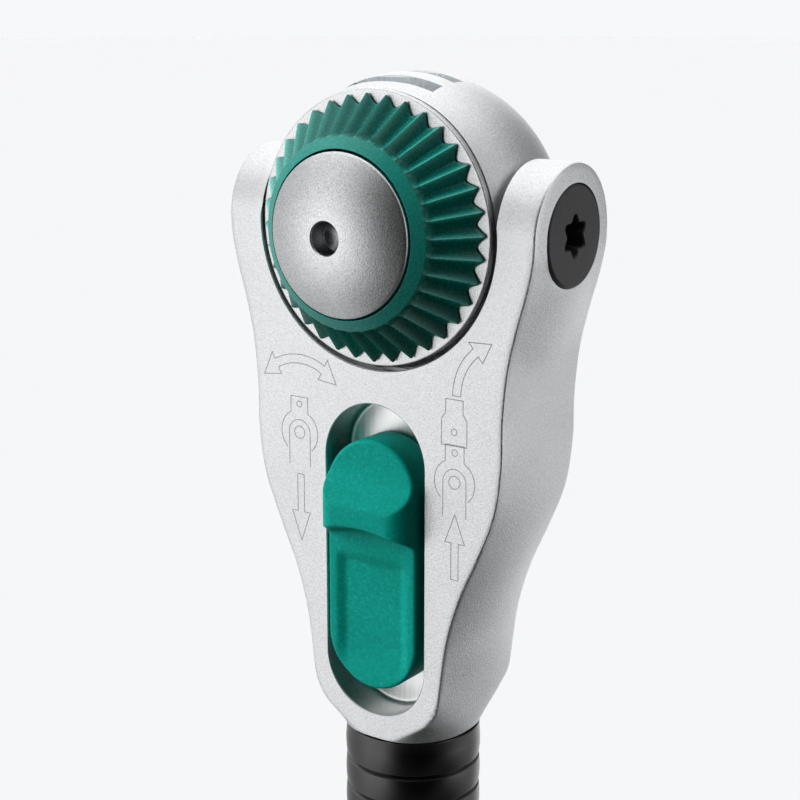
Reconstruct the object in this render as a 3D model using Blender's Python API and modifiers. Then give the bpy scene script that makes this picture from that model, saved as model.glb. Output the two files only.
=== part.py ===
"""Swivel-head socket ratchet with a lockable ball head, a thumbwheel reverser and a spinning sleeve.

The tool stands upright on the flat end of its handle. +Z runs along the handle to the head,
-Y is the thumbwheel side and +Y is the square drive side. The ball head swivels about an X axis.
"""

import math

import bmesh
import bpy
from mathutils import Matrix

MM = 0.001

# Clearances
GAP = 0.3 * MM
RUN_GAP = 0.35 * MM
OVERLAP = 1.0 * MM

# Overall sizes
OVERALL_LENGTH = 199.0 * MM
BALL_RADIUS = 19.3 * MM
ARM_WALL = 3.7 * MM
YOKE_DEPTH = 18.2 * MM

# Head, measured along the drive axis from the swivel centre (front is negative)
RIM_RADIUS = 17.5 * MM
RIM_FRONT = -9.3 * MM
COVER_THICKNESS = 1.0 * MM
BALL_BACK = 12.5 * MM
GEAR_TEETH = 72
GEAR_RADIUS = 10.5 * MM
TOOTH_DEPTH = 0.6 * MM
GEAR_FRONT = -4.2 * MM
GEAR_BACK = 3.0 * MM
NECK_RADIUS = 7.4 * MM
NECK_LENGTH = 10.0 * MM
SQUARE_WIDTH = 9.52 * MM
SQUARE_LENGTH = 11.4 * MM
SQUARE_CHAMFER = 0.6 * MM
BUSH_WALL = 1.5 * MM
DRIVE_END_WALL = 0.9 * MM
COVER_SCREW_RADIUS = 1.0 * MM
COVER_SCREW_HEAD = 1.8 * MM
COVER_SCREW_LENGTH = 5.0 * MM
COVER_SCREW_CIRCLE = 14.6 * MM
COVER_SCREW_ANGLES = (math.radians(20.0), math.radians(160.0), math.radians(270.0))

# Pawl and its pivot, above the gear
PAWL_PIVOT_RADIUS = 13.2 * MM
PAWL_PIN_RADIUS = 1.0 * MM
PAWL_BOSS_RADIUS = 2.1 * MM
PAWL_OUTER_RADIUS = 14.2 * MM
PAWL_HALF_ANGLE = math.radians(46.0)
PAWL_TOOTH_START = math.radians(26.2)
PAWL_ROCK = math.radians(7.0)
PAWL_CAM_DEPTH = 2.8 * MM
PAWL_CAM_ROOM = 1.7 * MM
PAWL_RELIEF = 0.8 * MM
PAWL_POCKET_SPREAD = 1.2
PAWL_TOOTH_GAP = 0.25 * MM
PAWL_MIDDLE_GAP = 0.5 * MM
PAWL_PIN_GRIP = 4.0 * MM

# Thumbwheel, push button and release pin
WHEEL_TEETH = 36
WHEEL_FACE = -15.2 * MM
WHEEL_FACE_RADIUS = 12.1 * MM
WHEEL_BASE_RADIUS = 17.1 * MM
KNURL_DEPTH = 2.25 * MM
KNURL_SHARE = 0.48
HUB_RADIUS = 9.6 * MM
WHEEL_TURN = math.radians(24.0)
CLIP_THICKNESS = 0.6 * MM
CLIP_STAND_OUT = 0.9 * MM
PLUNGER_RADIUS = 1.0 * MM
PLUNGER_LENGTH = 3.2 * MM
PLUNGER_REACH = 1.4 * MM
PLUNGER_WALL = 1.0 * MM
PLUNGER_WIRE = 0.18 * MM
BUTTON_RADIUS = 10.3 * MM
BUTTON_RIM = -16.5 * MM
BUTTON_APEX = -19.4 * MM
BUTTON_SKIRT = 3.3 * MM
BUTTON_TRAVEL = 3.0 * MM
DIMPLE_RADIUS = 2.07 * MM
DIMPLE_DEPTH = 2.0 * MM
RELEASE_PIN_RADIUS = 1.7 * MM
RELEASE_WAIST_RADIUS = 0.8 * MM
RELEASE_SOCKET_DEPTH = 2.2 * MM
RELEASE_LAND = 0.35 * MM
RELEASE_RAMP = 1.6 * MM
LOCKING_BALL_RADIUS = 1.75 * MM
LOCKING_BALL_PROUD = 0.8 * MM
SPRING_BORE_RADIUS = 5.2 * MM
BUTTON_WIRE = 0.4 * MM

# Swivel pivot
CAVITY_CLEARANCE = 1.0 * MM
PIVOT_HEAD_RADIUS = 6.4 * MM
PIVOT_HEAD_THICKNESS = 1.9 * MM
PIVOT_HEAD_SUNK = 0.3 * MM
PIVOT_PIN_RADIUS = 3.6 * MM
PIVOT_BUSH_WALL = 1.3 * MM
PIVOT_GRIP = 3.2 * MM
STAR_MEAN_RADIUS = 2.9 * MM
STAR_WAVE = 0.45 * MM
STAR_DEPTH = 2.6 * MM
STAR_LOBES = 6

# Swivel lock
LOCK_TRAVEL = 3.2 * MM
LOCK_STEP = math.radians(15.0)
NOTCH_HALF_WIDTH = 6.7 * MM
NOTCH_OPENING = 2.3 * MM
BOLT_WIDTH = 12.4 * MM
BOLT_THICKNESS = 3.6 * MM
BOLT_LENGTH = 38.0 * MM
TIP_LENGTH = 5.0 * MM
POCKET_HALF_WIDTH = 8.0 * MM
POCKET_LAND = 2.4 * MM
POCKET_LENGTH = 43.5 * MM
POCKET_DEPTH = 5.4 * MM
SLIDE_SIDE_ROOM = 0.9 * MM
SLIDE_END_ROOM = 4.0 * MM
SLIDE_PROUD = 0.7 * MM
SLIDE_PEAK = 3.6 * MM
SLIDE_SCOOP = 0.2 * MM
SLIDE_PEAK_OFFSET = 8.2 * MM
SLIDE_SCOOP_OFFSET = 14.6 * MM
SLIDE_PIN_RADIUS = 2.0 * MM
SLIDE_PIN_SPACING = 13.0 * MM
DETENT_BALL_RADIUS = 1.0 * MM
DETENT_WIRE = 0.2 * MM

# Yoke outline below the pivot in millimetres: half width against depth, for the size it was drawn at
YOKE_DRAWN_WIDTH = 48.0
YOKE_DRAWN_DEPTH = 69.4
YOKE_SHOULDER = ((22.5, 6.7), (20.4, 14.3), (19.5, 22.0), (19.4, 28.5), (18.4, 35.0))
YOKE_TAPER = ((16.1, 40.8), (13.4, 46.8), (11.6, 52.6), (10.7, 58.4), (10.3, 64.0))
FOOT_LAND = 3.2 * MM
FOOT_SLOPE = 0.59
FOOT_INSET = 0.2 * MM

# Shank, sleeve and handle
SHANK_END = 22.0 * MM
SHANK_CHAMFER = 1.0 * MM
SLEEVE_RADIUS = 9.4 * MM
SLEEVE_WALL = 2.0 * MM
SLEEVE_BANDS = 7
BAND_PITCH = 4.2 * MM
BAND_GROOVE = 0.5 * MM
BAND_SHOULDER = 0.84 * MM
SLEEVE_BUSH_LENGTH = 6.0 * MM
SLEEVE_BUSH_WALL = 1.15 * MM
WASHER_THICKNESS = 0.5 * MM
HANDLE_NECK_RADIUS = 10.4 * MM
HANDLE_GUARD_RADIUS = 13.0 * MM
HANDLE_WAIST_RADIUS = 11.8 * MM
HANDLE_BELLY_RADIUS = 14.6 * MM
HANDLE_HEEL_RADIUS = 13.6 * MM
HANDLE_END_RADIUS = 11.5 * MM
HANDLE_WAIST_SHARE = 0.70
HANDLE_BELLY_SHARE = 0.36
HANDLE_PIN_SHARE = 0.55
GRIP_WALL = 2.2 * MM
COLLAR_HEIGHT = 9.0 * MM
CAP_HEIGHT = 8.0 * MM
CAP_SPIGOT_RADIUS = 6.0 * MM
CAP_SPIGOT_LENGTH = 9.0 * MM
HANDLE_PIN_RADIUS = 1.5 * MM

# Facet counts
BALL_STEPS = 32
RING_STEPS = 24
PIN_STEPS = 12
HANDLE_STEPS = 20
SLIDE_STEPS = 32

# Derived places
PIVOT_HEIGHT = OVERALL_LENGTH - BALL_RADIUS
HALF_DEPTH = YOKE_DEPTH / 2
RIM_REACH = math.hypot(RIM_RADIUS, RIM_FRONT)
CAVITY_RADIUS = max(BALL_RADIUS + CAVITY_CLEARANCE, RIM_REACH + GAP)
YOKE_WIDTH = 2 * (CAVITY_RADIUS + ARM_WALL)
PIVOT_DEPTH = BALL_RADIUS - PIVOT_GRIP
BALL_FRONT = RIM_FRONT + COVER_THICKNESS + GAP
CHAMBER_RADIUS = GEAR_RADIUS + RUN_GAP
HUB_END = GEAR_FRONT - GAP
CUP_FLOOR = BUTTON_RIM + BUTTON_SKIRT + BUTTON_TRAVEL + GAP
SQUARE_START = GEAR_BACK + NECK_LENGTH
DRIVE_END = SQUARE_START + SQUARE_LENGTH
BALL_STATION = SQUARE_START + SQUARE_LENGTH / 2
LOCKING_BALL_CENTRE = SQUARE_WIDTH / 2 + LOCKING_BALL_PROUD - LOCKING_BALL_RADIUS
TIP_TOP = -(max(BALL_RADIUS, RIM_REACH) + RUN_GAP)
NOTCH_FLOOR = -TIP_TOP - LOCK_TRAVEL - GAP
BOLT_BOTTOM = TIP_TOP - BOLT_LENGTH
POCKET_TOP = -(CAVITY_RADIUS + POCKET_LAND)
POCKET_BOTTOM = POCKET_TOP - POCKET_LENGTH
SLIDE_HALF_WIDTH = POCKET_HALF_WIDTH - SLIDE_SIDE_ROOM
SLIDE_TOP = POCKET_TOP - SLIDE_END_ROOM
SLIDE_BOTTOM = POCKET_BOTTOM + SLIDE_END_ROOM
SLIDE_MIDDLE = (SLIDE_TOP + SLIDE_BOTTOM) / 2
FOOT_DEPTH = FOOT_LAND - POCKET_BOTTOM
FOOT_HEIGHT = PIVOT_HEIGHT - FOOT_DEPTH
SHANK_RADIUS = SLEEVE_RADIUS - SLEEVE_WALL - GAP - SLEEVE_BUSH_WALL - RUN_GAP
SLEEVE_TOP = FOOT_HEIGHT - 2 * GAP - WASHER_THICKNESS
SLEEVE_BOTTOM = SLEEVE_TOP - SLEEVE_BANDS * BAND_PITCH
HANDLE_TOP = SLEEVE_BOTTOM - 2 * GAP - WASHER_THICKNESS

# Turning the local Z axis of a piece onto a world axis, or an XY outline into a view
ALONG_X = (0.0, math.pi / 2, 0.0)
ALONG_MINUS_X = (0.0, -math.pi / 2, 0.0)
ALONG_Y = (-math.pi / 2, 0.0, 0.0)
FRONT_VIEW = (math.pi / 2, 0.0, 0.0)
SIDE_VIEW = (math.pi / 2, 0.0, math.pi / 2)
UPRIGHT = (0.0, 0.0, 0.0)

# Finishes: colour, roughness, metallic
SATIN_CHROME = ((0.78, 0.79, 0.80), 0.36, 1.0)
DARK_STEEL = ((0.06, 0.06, 0.065), 0.45, 0.8)
TOOL_STEEL = ((0.45, 0.45, 0.46), 0.4, 1.0)
BRONZE = ((0.55, 0.36, 0.16), 0.4, 1.0)
GREEN_PLASTIC = ((0.0, 0.27, 0.19), 0.5, 0.0)
BLACK_PLASTIC = ((0.015, 0.015, 0.018), 0.5, 0.0)
BLACK_RUBBER = ((0.02, 0.02, 0.022), 0.75, 0.0)


def clear_scene():
    """Remove every object and start two collections, one for the parts and one for the cutters."""
    for item in list(bpy.data.objects):
        bpy.data.objects.remove(item, do_unlink=True)
    groups = {}
    for name in ("socket_ratchet", "cutters"):
        group = bpy.data.collections.new(name)
        bpy.context.scene.collection.children.link(group)
        groups[name] = group
    return groups["socket_ratchet"], groups["cutters"]


PARTS, CUTTERS = clear_scene()


def pivot_empty(name, at, parent=None):
    """An empty that carries the pieces of one moving body."""
    empty = bpy.data.objects.new(name, None)
    empty.empty_display_size = 10 * MM
    PARTS.objects.link(empty)
    empty.parent = parent
    empty.location = at
    return empty


def place(item, at=(0, 0, 0), turn=UPRIGHT, parent=None):
    """Put a piece at a place and a turn, under its parent."""
    item.parent = parent
    item.location = at
    item.rotation_euler = turn
    return item


def link(name, mesh, finish):
    """Make an object of a mesh: a part when it has a finish, and a hidden cutter when it has none."""
    item = bpy.data.objects.new(name, mesh)
    if finish is None:
        CUTTERS.objects.link(item)
        item.hide_render = True
        item.display_type = "WIRE"
        return item
    PARTS.objects.link(item)
    paint = bpy.data.materials.new(name + "_finish")
    paint.use_nodes = True
    shader = paint.node_tree.nodes["Principled BSDF"]
    colour, roughness, metallic = finish
    shader.inputs["Base Color"].default_value = (*colour, 1.0)
    shader.inputs["Roughness"].default_value = roughness
    shader.inputs["Metallic"].default_value = metallic
    mesh.materials.append(paint)
    return item


def smooth(mesh):
    """Shade a round mesh smooth with its sharp edges kept."""
    mesh.shade_smooth()
    mesh.set_sharp_from_angle(angle=math.radians(30))


def turned(name, profile, finish=None, steps=RING_STEPS, ring=False):
    """A turned piece: a profile of (radius, height) that runs from top to bottom on its outer side."""
    mesh = bpy.data.meshes.new(name)
    points = [(radius, 0.0, height) for radius, height in profile]
    edges = [(i, i + 1) for i in range(len(points) - 1)]
    if ring:
        edges.append((len(points) - 1, 0))
    mesh.from_pydata(points, edges, [])
    item = link(name, mesh, finish)
    lathe = item.modifiers.new("Lathe", "SCREW")
    lathe.steps = steps
    lathe.render_steps = steps
    lathe.use_merge_vertices = True
    lathe.merge_threshold = 0.00001
    lathe.use_smooth_shade = True
    return item


def rod(name, radius, low, high, finish=None, steps=PIN_STEPS):
    """A plain round bar along its local Z axis."""
    return turned(name, [(0, high), (radius, high), (radius, low), (0, low)], finish, steps)


def tube(name, inner, outer, low, high, finish=None, steps=RING_STEPS):
    """A plain bush, washer or ring along its local Z axis."""
    profile = [(outer, high), (outer, low), (inner, low), (inner, high)]
    return turned(name, profile, finish, steps, ring=True)


def block(name, size, finish=None):
    """A box of the given size about its own centre."""
    mesh = bpy.data.meshes.new(name)
    shape = bmesh.new()
    bmesh.ops.create_cube(shape, size=1.0, matrix=Matrix.Diagonal((*size, 1.0)))
    shape.to_mesh(mesh)
    shape.free()
    return link(name, mesh, finish)


def globe(name, radius, finish=None, around=16, rows=8):
    """A sphere about its own centre."""
    mesh = bpy.data.meshes.new(name)
    shape = bmesh.new()
    bmesh.ops.create_uvsphere(shape, u_segments=around, v_segments=rows, radius=radius)
    shape.to_mesh(mesh)
    shape.free()
    smooth(mesh)
    return link(name, mesh, finish)


def mesh_of_curve(name, curve):
    """The closed mesh of a curve, with its loose caps welded on."""
    guide = bpy.data.objects.new(name + "_guide", curve)
    CUTTERS.objects.link(guide)
    bpy.context.view_layer.update()
    graph = bpy.context.evaluated_depsgraph_get()
    mesh = bpy.data.meshes.new_from_object(guide.evaluated_get(graph))
    bpy.data.objects.remove(guide, do_unlink=True)
    bpy.data.curves.remove(curve)
    shape = bmesh.new()
    shape.from_mesh(mesh)
    bmesh.ops.remove_doubles(shape, verts=shape.verts, dist=0.000005)
    bmesh.ops.recalc_face_normals(shape, faces=shape.faces)
    shape.to_mesh(mesh)
    shape.free()
    mesh.name = name
    return mesh


def prism(name, outline, thickness, finish=None):
    """A flat outline in the local XY plane, extruded evenly to both sides."""
    curve = bpy.data.curves.new(name, "CURVE")
    curve.dimensions = "2D"
    curve.fill_mode = "BOTH"
    curve.extrude = thickness / 2
    spline = curve.splines.new("POLY")
    spline.points.add(len(outline) - 1)
    for point, (across, up) in zip(spline.points, outline):
        point.co = (across, up, 0.0, 1.0)
    spline.use_cyclic_u = True
    return link(name, mesh_of_curve(name, curve), finish)


def coil(name, radius, wire, low, high, turns, finish):
    """A compression spring along its local Z axis, with ten points to each turn."""
    points_per_turn = 10
    count = turns * points_per_turn
    curve = bpy.data.curves.new(name, "CURVE")
    curve.dimensions = "3D"
    curve.bevel_depth = wire
    curve.bevel_resolution = 1
    curve.use_fill_caps = True
    spline = curve.splines.new("POLY")
    spline.points.add(count)
    for step, point in enumerate(spline.points):
        angle = 2 * math.pi * step / points_per_turn
        height = low + wire + (high - low - 2 * wire) * step / count
        point.co = (radius * math.cos(angle), radius * math.sin(angle), height, 1.0)
    return link(name, mesh_of_curve(name, curve), finish)


def shape_with(target, tool, how):
    """Cut, keep or add the tool's volume with an exact Boolean."""
    step = target.modifiers.new(tool.name, "BOOLEAN")
    step.operation = how
    step.solver = "EXACT"
    step.object = tool
    return target


def cut(target, tool):
    """Take the tool's volume away from the target."""
    return shape_with(target, tool, "DIFFERENCE")


def keep(target, tool):
    """Keep only what the target shares with the tool."""
    return shape_with(target, tool, "INTERSECT")


def fuse(target, tool):
    """Join the tool's volume to the target."""
    return shape_with(target, tool, "UNION")


def arc(across, up, radius, start, end, count):
    """Points on a circular arc from one angle to another."""
    angles = [start + (end - start) * i / count for i in range(count + 1)]
    return [(across + radius * math.cos(a), up + radius * math.sin(a)) for a in angles]


def stadium(half_width, top, bottom, count=12):
    """A slot outline with round ends."""
    upper = arc(0, top - half_width, half_width, 0, math.pi, count)
    lower = arc(0, bottom + half_width, half_width, math.pi, 2 * math.pi, count)
    return upper + lower


def smooth_line(points, steps):
    """Points on a Catmull-Rom curve through the given points."""
    padded = [points[0], *points, points[-1]]
    line = []
    for a, b, c, d in zip(padded, padded[1:], padded[2:], padded[3:]):
        for i in range(steps):
            t = i / steps
            line.append(tuple(
                0.5 * (2 * q + (r - p) * t + (2 * p - 5 * q + 4 * r - s) * t * t
                       + (3 * q - p - 3 * r + s) * t ** 3)
                for p, q, r, s in zip(a, b, c, d)))
    line.append(points[-1])
    return line


def gear_outline(tip, depth):
    """A ring of even V teeth, with a tooth tip on the local +Y axis."""
    points = []
    for step in range(2 * GEAR_TEETH):
        angle = math.pi / 2 + math.pi * step / GEAR_TEETH
        radius = tip if step % 2 == 0 else tip - depth
        points.append((radius * math.cos(angle), radius * math.sin(angle)))
    return points


def yoke_outline(below):
    """The fork seen from the front, about the pivot, with a plain stem down to the given depth."""
    half = YOKE_WIDTH / 2
    widen = YOKE_WIDTH / YOKE_DRAWN_WIDTH
    deepen = FOOT_DEPTH / YOKE_DRAWN_DEPTH
    side = [(half, 0.0)]
    side += [(across * widen, -down * deepen) for across, down in YOKE_SHOULDER + YOKE_TAPER]
    right = [(half, YOKE_DEPTH)] + smooth_line(side, 3)
    right.append((right[-1][0], -below))
    left = [(-across, up) for across, up in reversed(right)]
    return right + left


def build_yoke():
    """The forged fork with its shank, the ball cavity, the slide pockets and the bolt channel."""
    below = PIVOT_HEIGHT - SHANK_END
    yoke = prism("yoke", yoke_outline(below + SHANK_RADIUS), YOKE_DEPTH * 1.5, SATIN_CHROME)
    place(yoke, (0, 0, PIVOT_HEIGHT), FRONT_VIEW)
    crown = arc(0, 0, HALF_DEPTH, 0, math.pi, 15)
    arch = [(HALF_DEPTH, -2 * below)] + crown + [(-HALF_DEPTH, -2 * below)]
    side = prism("yoke_side", arch, 2 * YOKE_WIDTH)
    keep(yoke, place(side, (0, 0, PIVOT_HEIGHT), SIDE_VIEW))
    flare = YOKE_WIDTH
    collar = HALF_DEPTH - FOOT_INSET
    foot = turned("yoke_foot", [
        (0, 2 * YOKE_DEPTH),
        (flare, 2 * YOKE_DEPTH),
        (flare, -FOOT_DEPTH + (flare - collar) / FOOT_SLOPE),
        (collar, -FOOT_DEPTH + GAP),
        (collar, -FOOT_DEPTH),
        (SHANK_RADIUS, -FOOT_DEPTH),
        (SHANK_RADIUS, -below + SHANK_CHAMFER),
        (SHANK_RADIUS - SHANK_CHAMFER, -below),
        (0, -below)])
    keep(yoke, place(foot, (0, 0, PIVOT_HEIGHT)))
    cavity = globe("ball_cavity", CAVITY_RADIUS, around=BALL_STEPS, rows=BALL_STEPS // 2)
    half_facet = math.pi / BALL_STEPS
    cut(yoke, place(cavity, (0, 0, PIVOT_HEIGHT), (half_facet, math.pi / 2, 0)))
    for side_name, turn in (("right", ALONG_X), ("left", ALONG_MINUS_X)):
        cut(yoke, place(pivot_bore(side_name), (0, 0, PIVOT_HEIGHT), turn))
    for side_name, facing in (("front", -1), ("back", 1)):
        pocket = prism("pocket_" + side_name, stadium(POCKET_HALF_WIDTH, POCKET_TOP, POCKET_BOTTOM),
                       2 * POCKET_DEPTH)
        cut(yoke, place(pocket, (0, facing * HALF_DEPTH, PIVOT_HEIGHT), FRONT_VIEW))
    cut_bolt_channel(yoke)
    hole = rod("yoke_pin_hole", HANDLE_PIN_RADIUS + GAP, -2 * SHANK_RADIUS, 2 * SHANK_RADIUS)
    cut(yoke, place(hole, (0, 0, handle_pin_height()), ALONG_X))
    return yoke


def pivot_bore(side_name):
    """The stepped bore of one yoke arm, along its local Z axis from the pivot outwards."""
    seat = YOKE_WIDTH / 2 - PIVOT_HEAD_SUNK - PIVOT_HEAD_THICKNESS - GAP
    wide = PIVOT_HEAD_RADIUS + GAP
    narrow = PIVOT_PIN_RADIUS + GAP
    top = YOKE_WIDTH
    low = BALL_RADIUS / 2
    profile = [(0, top), (wide, top), (wide, seat), (narrow, seat), (narrow, low), (0, low)]
    return turned("pivot_bore_" + side_name, profile)


def cut_bolt_channel(yoke):
    """The bolt's channel in the web, its click grooves and the two slots for the slide pins."""
    wide = BOLT_WIDTH + 2 * GAP
    thick = BOLT_THICKNESS + 2 * GAP
    low = BOLT_BOTTOM - LOCK_TRAVEL - GAP
    high = -CAVITY_RADIUS / 2
    channel = block("bolt_channel", (wide, thick, high - low))
    cut(yoke, place(channel, (0, 0, PIVOT_HEIGHT + (high + low) / 2)))
    half_groove = thick / 2 - GAP
    for side in (-1, 1):
        for click in (-1, 0, 1):
            name = f"click_groove_{side}_{click}"
            groove = rod(name, DETENT_BALL_RADIUS, -half_groove, half_groove, steps=10)
            at = (side * wide / 2, 0, PIVOT_HEIGHT + detent_height() + click * LOCK_TRAVEL)
            cut(yoke, place(groove, at, ALONG_Y))
    for name, height in slide_pin_heights():
        wide = SLIDE_PIN_RADIUS + GAP
        reach = wide + LOCK_TRAVEL
        outline = stadium(wide, height + reach, height - reach, 8)
        slot = prism("slot_" + name, outline, YOKE_DEPTH - POCKET_DEPTH)
        cut(yoke, place(slot, (0, 0, PIVOT_HEIGHT), FRONT_VIEW))


def slide_pin_heights():
    """The names and heights of the two pins that tie the slides to the bolt."""
    half = SLIDE_PIN_SPACING / 2
    return (("upper", SLIDE_MIDDLE + half), ("lower", SLIDE_MIDDLE - half))


def detent_height():
    """The height of the click balls, half way between the slide pins."""
    return SLIDE_MIDDLE


def build_pivots(head):
    """The two pivot screws of the yoke arms and the bushes of the ball that turn on them."""
    for side_name, turn in (("right", ALONG_X), ("left", ALONG_MINUS_X)):
        face = YOKE_WIDTH / 2 - PIVOT_HEAD_SUNK
        under = face - PIVOT_HEAD_THICKNESS
        screw = turned("pivot_screw_" + side_name, [
            (0, face), (PIVOT_HEAD_RADIUS - GAP, face), (PIVOT_HEAD_RADIUS, face - GAP),
            (PIVOT_HEAD_RADIUS, under), (PIVOT_PIN_RADIUS, under), (PIVOT_PIN_RADIUS, PIVOT_DEPTH + GAP),
            (PIVOT_PIN_RADIUS - GAP, PIVOT_DEPTH), (0, PIVOT_DEPTH)], DARK_STEEL)
        place(screw, (0, 0, PIVOT_HEIGHT), turn)
        points = 8 * STAR_LOBES
        star = []
        for step in range(points):
            angle = 2 * math.pi * step / points
            radius = STAR_MEAN_RADIUS + STAR_WAVE * math.cos(STAR_LOBES * angle)
            star.append((radius * math.cos(angle), radius * math.sin(angle)))
        recess = prism("recess_" + side_name, star, 2 * STAR_DEPTH)
        sign = 1 if turn == ALONG_X else -1
        cut(screw, place(recess, (sign * face, 0, PIVOT_HEIGHT), turn))
        inner = PIVOT_PIN_RADIUS + RUN_GAP
        outer = inner + PIVOT_BUSH_WALL
        bush = tube("pivot_bush_" + side_name, inner, outer, PIVOT_DEPTH, bush_outer_end(), BRONZE)
        place(bush, turn=turn, parent=head)


def bush_outer_end():
    """How far out a pivot bush reaches, just under the ball's surface."""
    outer = PIVOT_PIN_RADIUS + RUN_GAP + PIVOT_BUSH_WALL
    return math.sqrt(BALL_RADIUS ** 2 - outer ** 2) - GAP


def pawl_outline(outer, boss, half_angle, inner):
    """A sector about the drive axis with a round boss at the pawl's pivot."""
    start = math.pi / 2 - half_angle
    end = math.pi / 2 + half_angle
    points = arc(0, 0, inner, end, start, 12)
    reach = math.acos((outer ** 2 + PAWL_PIVOT_RADIUS ** 2 - boss ** 2) / (2 * outer * PAWL_PIVOT_RADIUS))
    points += arc(0, 0, outer, start, math.pi / 2 - reach, 6)
    side = math.atan2(outer * math.cos(reach) - PAWL_PIVOT_RADIUS, outer * math.sin(reach))
    points += arc(0, PAWL_PIVOT_RADIUS, boss, side, math.pi - side, 8)[1:-1]
    points += arc(0, 0, outer, math.pi / 2 + reach, end, 6)
    return points


def build_housing(head):
    """The ball: gear chamber, pawl pocket, pivot bores, lock notches and cover screw holes."""
    back_radius = math.sqrt(BALL_RADIUS ** 2 - BALL_BACK ** 2)
    latitudes = 11
    start = math.atan2(BALL_BACK, back_radius)
    end = math.asin(BALL_FRONT / BALL_RADIUS)
    profile = arc(0, 0, BALL_RADIUS, start, end, latitudes)
    bush_bore = NECK_RADIUS + RUN_GAP + BUSH_WALL + GAP
    shelf = GEAR_BACK + GAP
    profile += [(CHAMBER_RADIUS, BALL_FRONT), (CHAMBER_RADIUS, shelf)]
    profile += [(bush_bore, shelf), (bush_bore, BALL_BACK)]
    housing = turned("head_housing", profile, SATIN_CHROME, BALL_STEPS, ring=True)
    place(housing, turn=ALONG_Y, parent=head)
    pocket_front = 2 * BALL_FRONT
    outline = pawl_outline(PAWL_OUTER_RADIUS + PAWL_RELIEF, PAWL_BOSS_RADIUS + GAP,
                           PAWL_HALF_ANGLE * PAWL_POCKET_SPREAD, CHAMBER_RADIUS - 2 * OVERLAP)
    pocket = prism("pawl_pocket", outline, shelf - pocket_front)
    cut(housing, place(pocket, (0, (shelf + pocket_front) / 2, 0), FRONT_VIEW, head))
    pin_hole = rod("pawl_pin_hole", PAWL_PIN_RADIUS + GAP, GEAR_BACK - OVERLAP, pawl_pin_end() + GAP)
    cut(housing, place(pin_hole, (0, 0, PAWL_PIVOT_RADIUS), ALONG_Y, head))
    for side_name, turn in (("right", ALONG_X), ("left", ALONG_MINUS_X)):
        bore = rod("bush_bore_" + side_name, PIVOT_PIN_RADIUS + RUN_GAP + PIVOT_BUSH_WALL + GAP,
                   PIVOT_DEPTH - RUN_GAP, YOKE_WIDTH, steps=RING_STEPS)
        cut(housing, place(bore, turn=turn, parent=head))
    for end_name, upward in (("top", 1), ("bottom", -1)):
        for step in (-1, 0, 1):
            notch = block(f"notch_{end_name}_{step}", (2 * NOTCH_HALF_WIDTH, NOTCH_OPENING, BALL_RADIUS))
            tilt = step * LOCK_STEP
            middle = upward * (NOTCH_FLOOR + BALL_RADIUS / 2)
            at = (0, -middle * math.sin(tilt), middle * math.cos(tilt))
            cut(housing, place(notch, at, (tilt, 0, 0), head))
    hole_end = RIM_FRONT + COVER_SCREW_LENGTH + GAP
    for name, at in cover_screw_places():
        hole = rod("hole_" + name, COVER_SCREW_RADIUS + GAP, RIM_FRONT, hole_end)
        cut(housing, place(hole, at, ALONG_Y, head))
    return housing


def cover_screw_places():
    """The three cover screws, clear of the pawl pocket at the top."""
    places = []
    for number, angle in enumerate(COVER_SCREW_ANGLES, start=1):
        at = (COVER_SCREW_CIRCLE * math.cos(angle), 0, COVER_SCREW_CIRCLE * math.sin(angle))
        places.append((f"cover_screw_{number}", at))
    return places


def build_cover(head):
    """The cover plate that closes the chamber, and its countersunk screws."""
    cover = tube("cover_plate", HUB_RADIUS + RUN_GAP, RIM_RADIUS, RIM_FRONT, RIM_FRONT + COVER_THICKNESS,
                 SATIN_CHROME, BALL_STEPS)
    place(cover, turn=ALONG_Y, parent=head)
    front = RIM_FRONT + GAP / 3
    neck = front + COVER_THICKNESS - GAP
    end = RIM_FRONT + COVER_SCREW_LENGTH
    for name, at in cover_screw_places():
        screw = turned(name, [
            (0, end), (COVER_SCREW_RADIUS, end), (COVER_SCREW_RADIUS, neck),
            (COVER_SCREW_HEAD, front), (0, front)], TOOL_STEEL, PIN_STEPS)
        place(screw, at, ALONG_Y, head)
        wide = COVER_SCREW_HEAD + 2 * GAP
        narrow = COVER_SCREW_RADIUS + GAP
        sink = turned("sink_" + name, [
            (0, RIM_FRONT + 2 * COVER_THICKNESS), (narrow, RIM_FRONT + 2 * COVER_THICKNESS), (narrow, neck),
            (wide, front - GAP), (wide, front - OVERLAP), (0, front - OVERLAP)], None, PIN_STEPS)
        cut(cover, place(sink, at, ALONG_Y, head))


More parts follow.
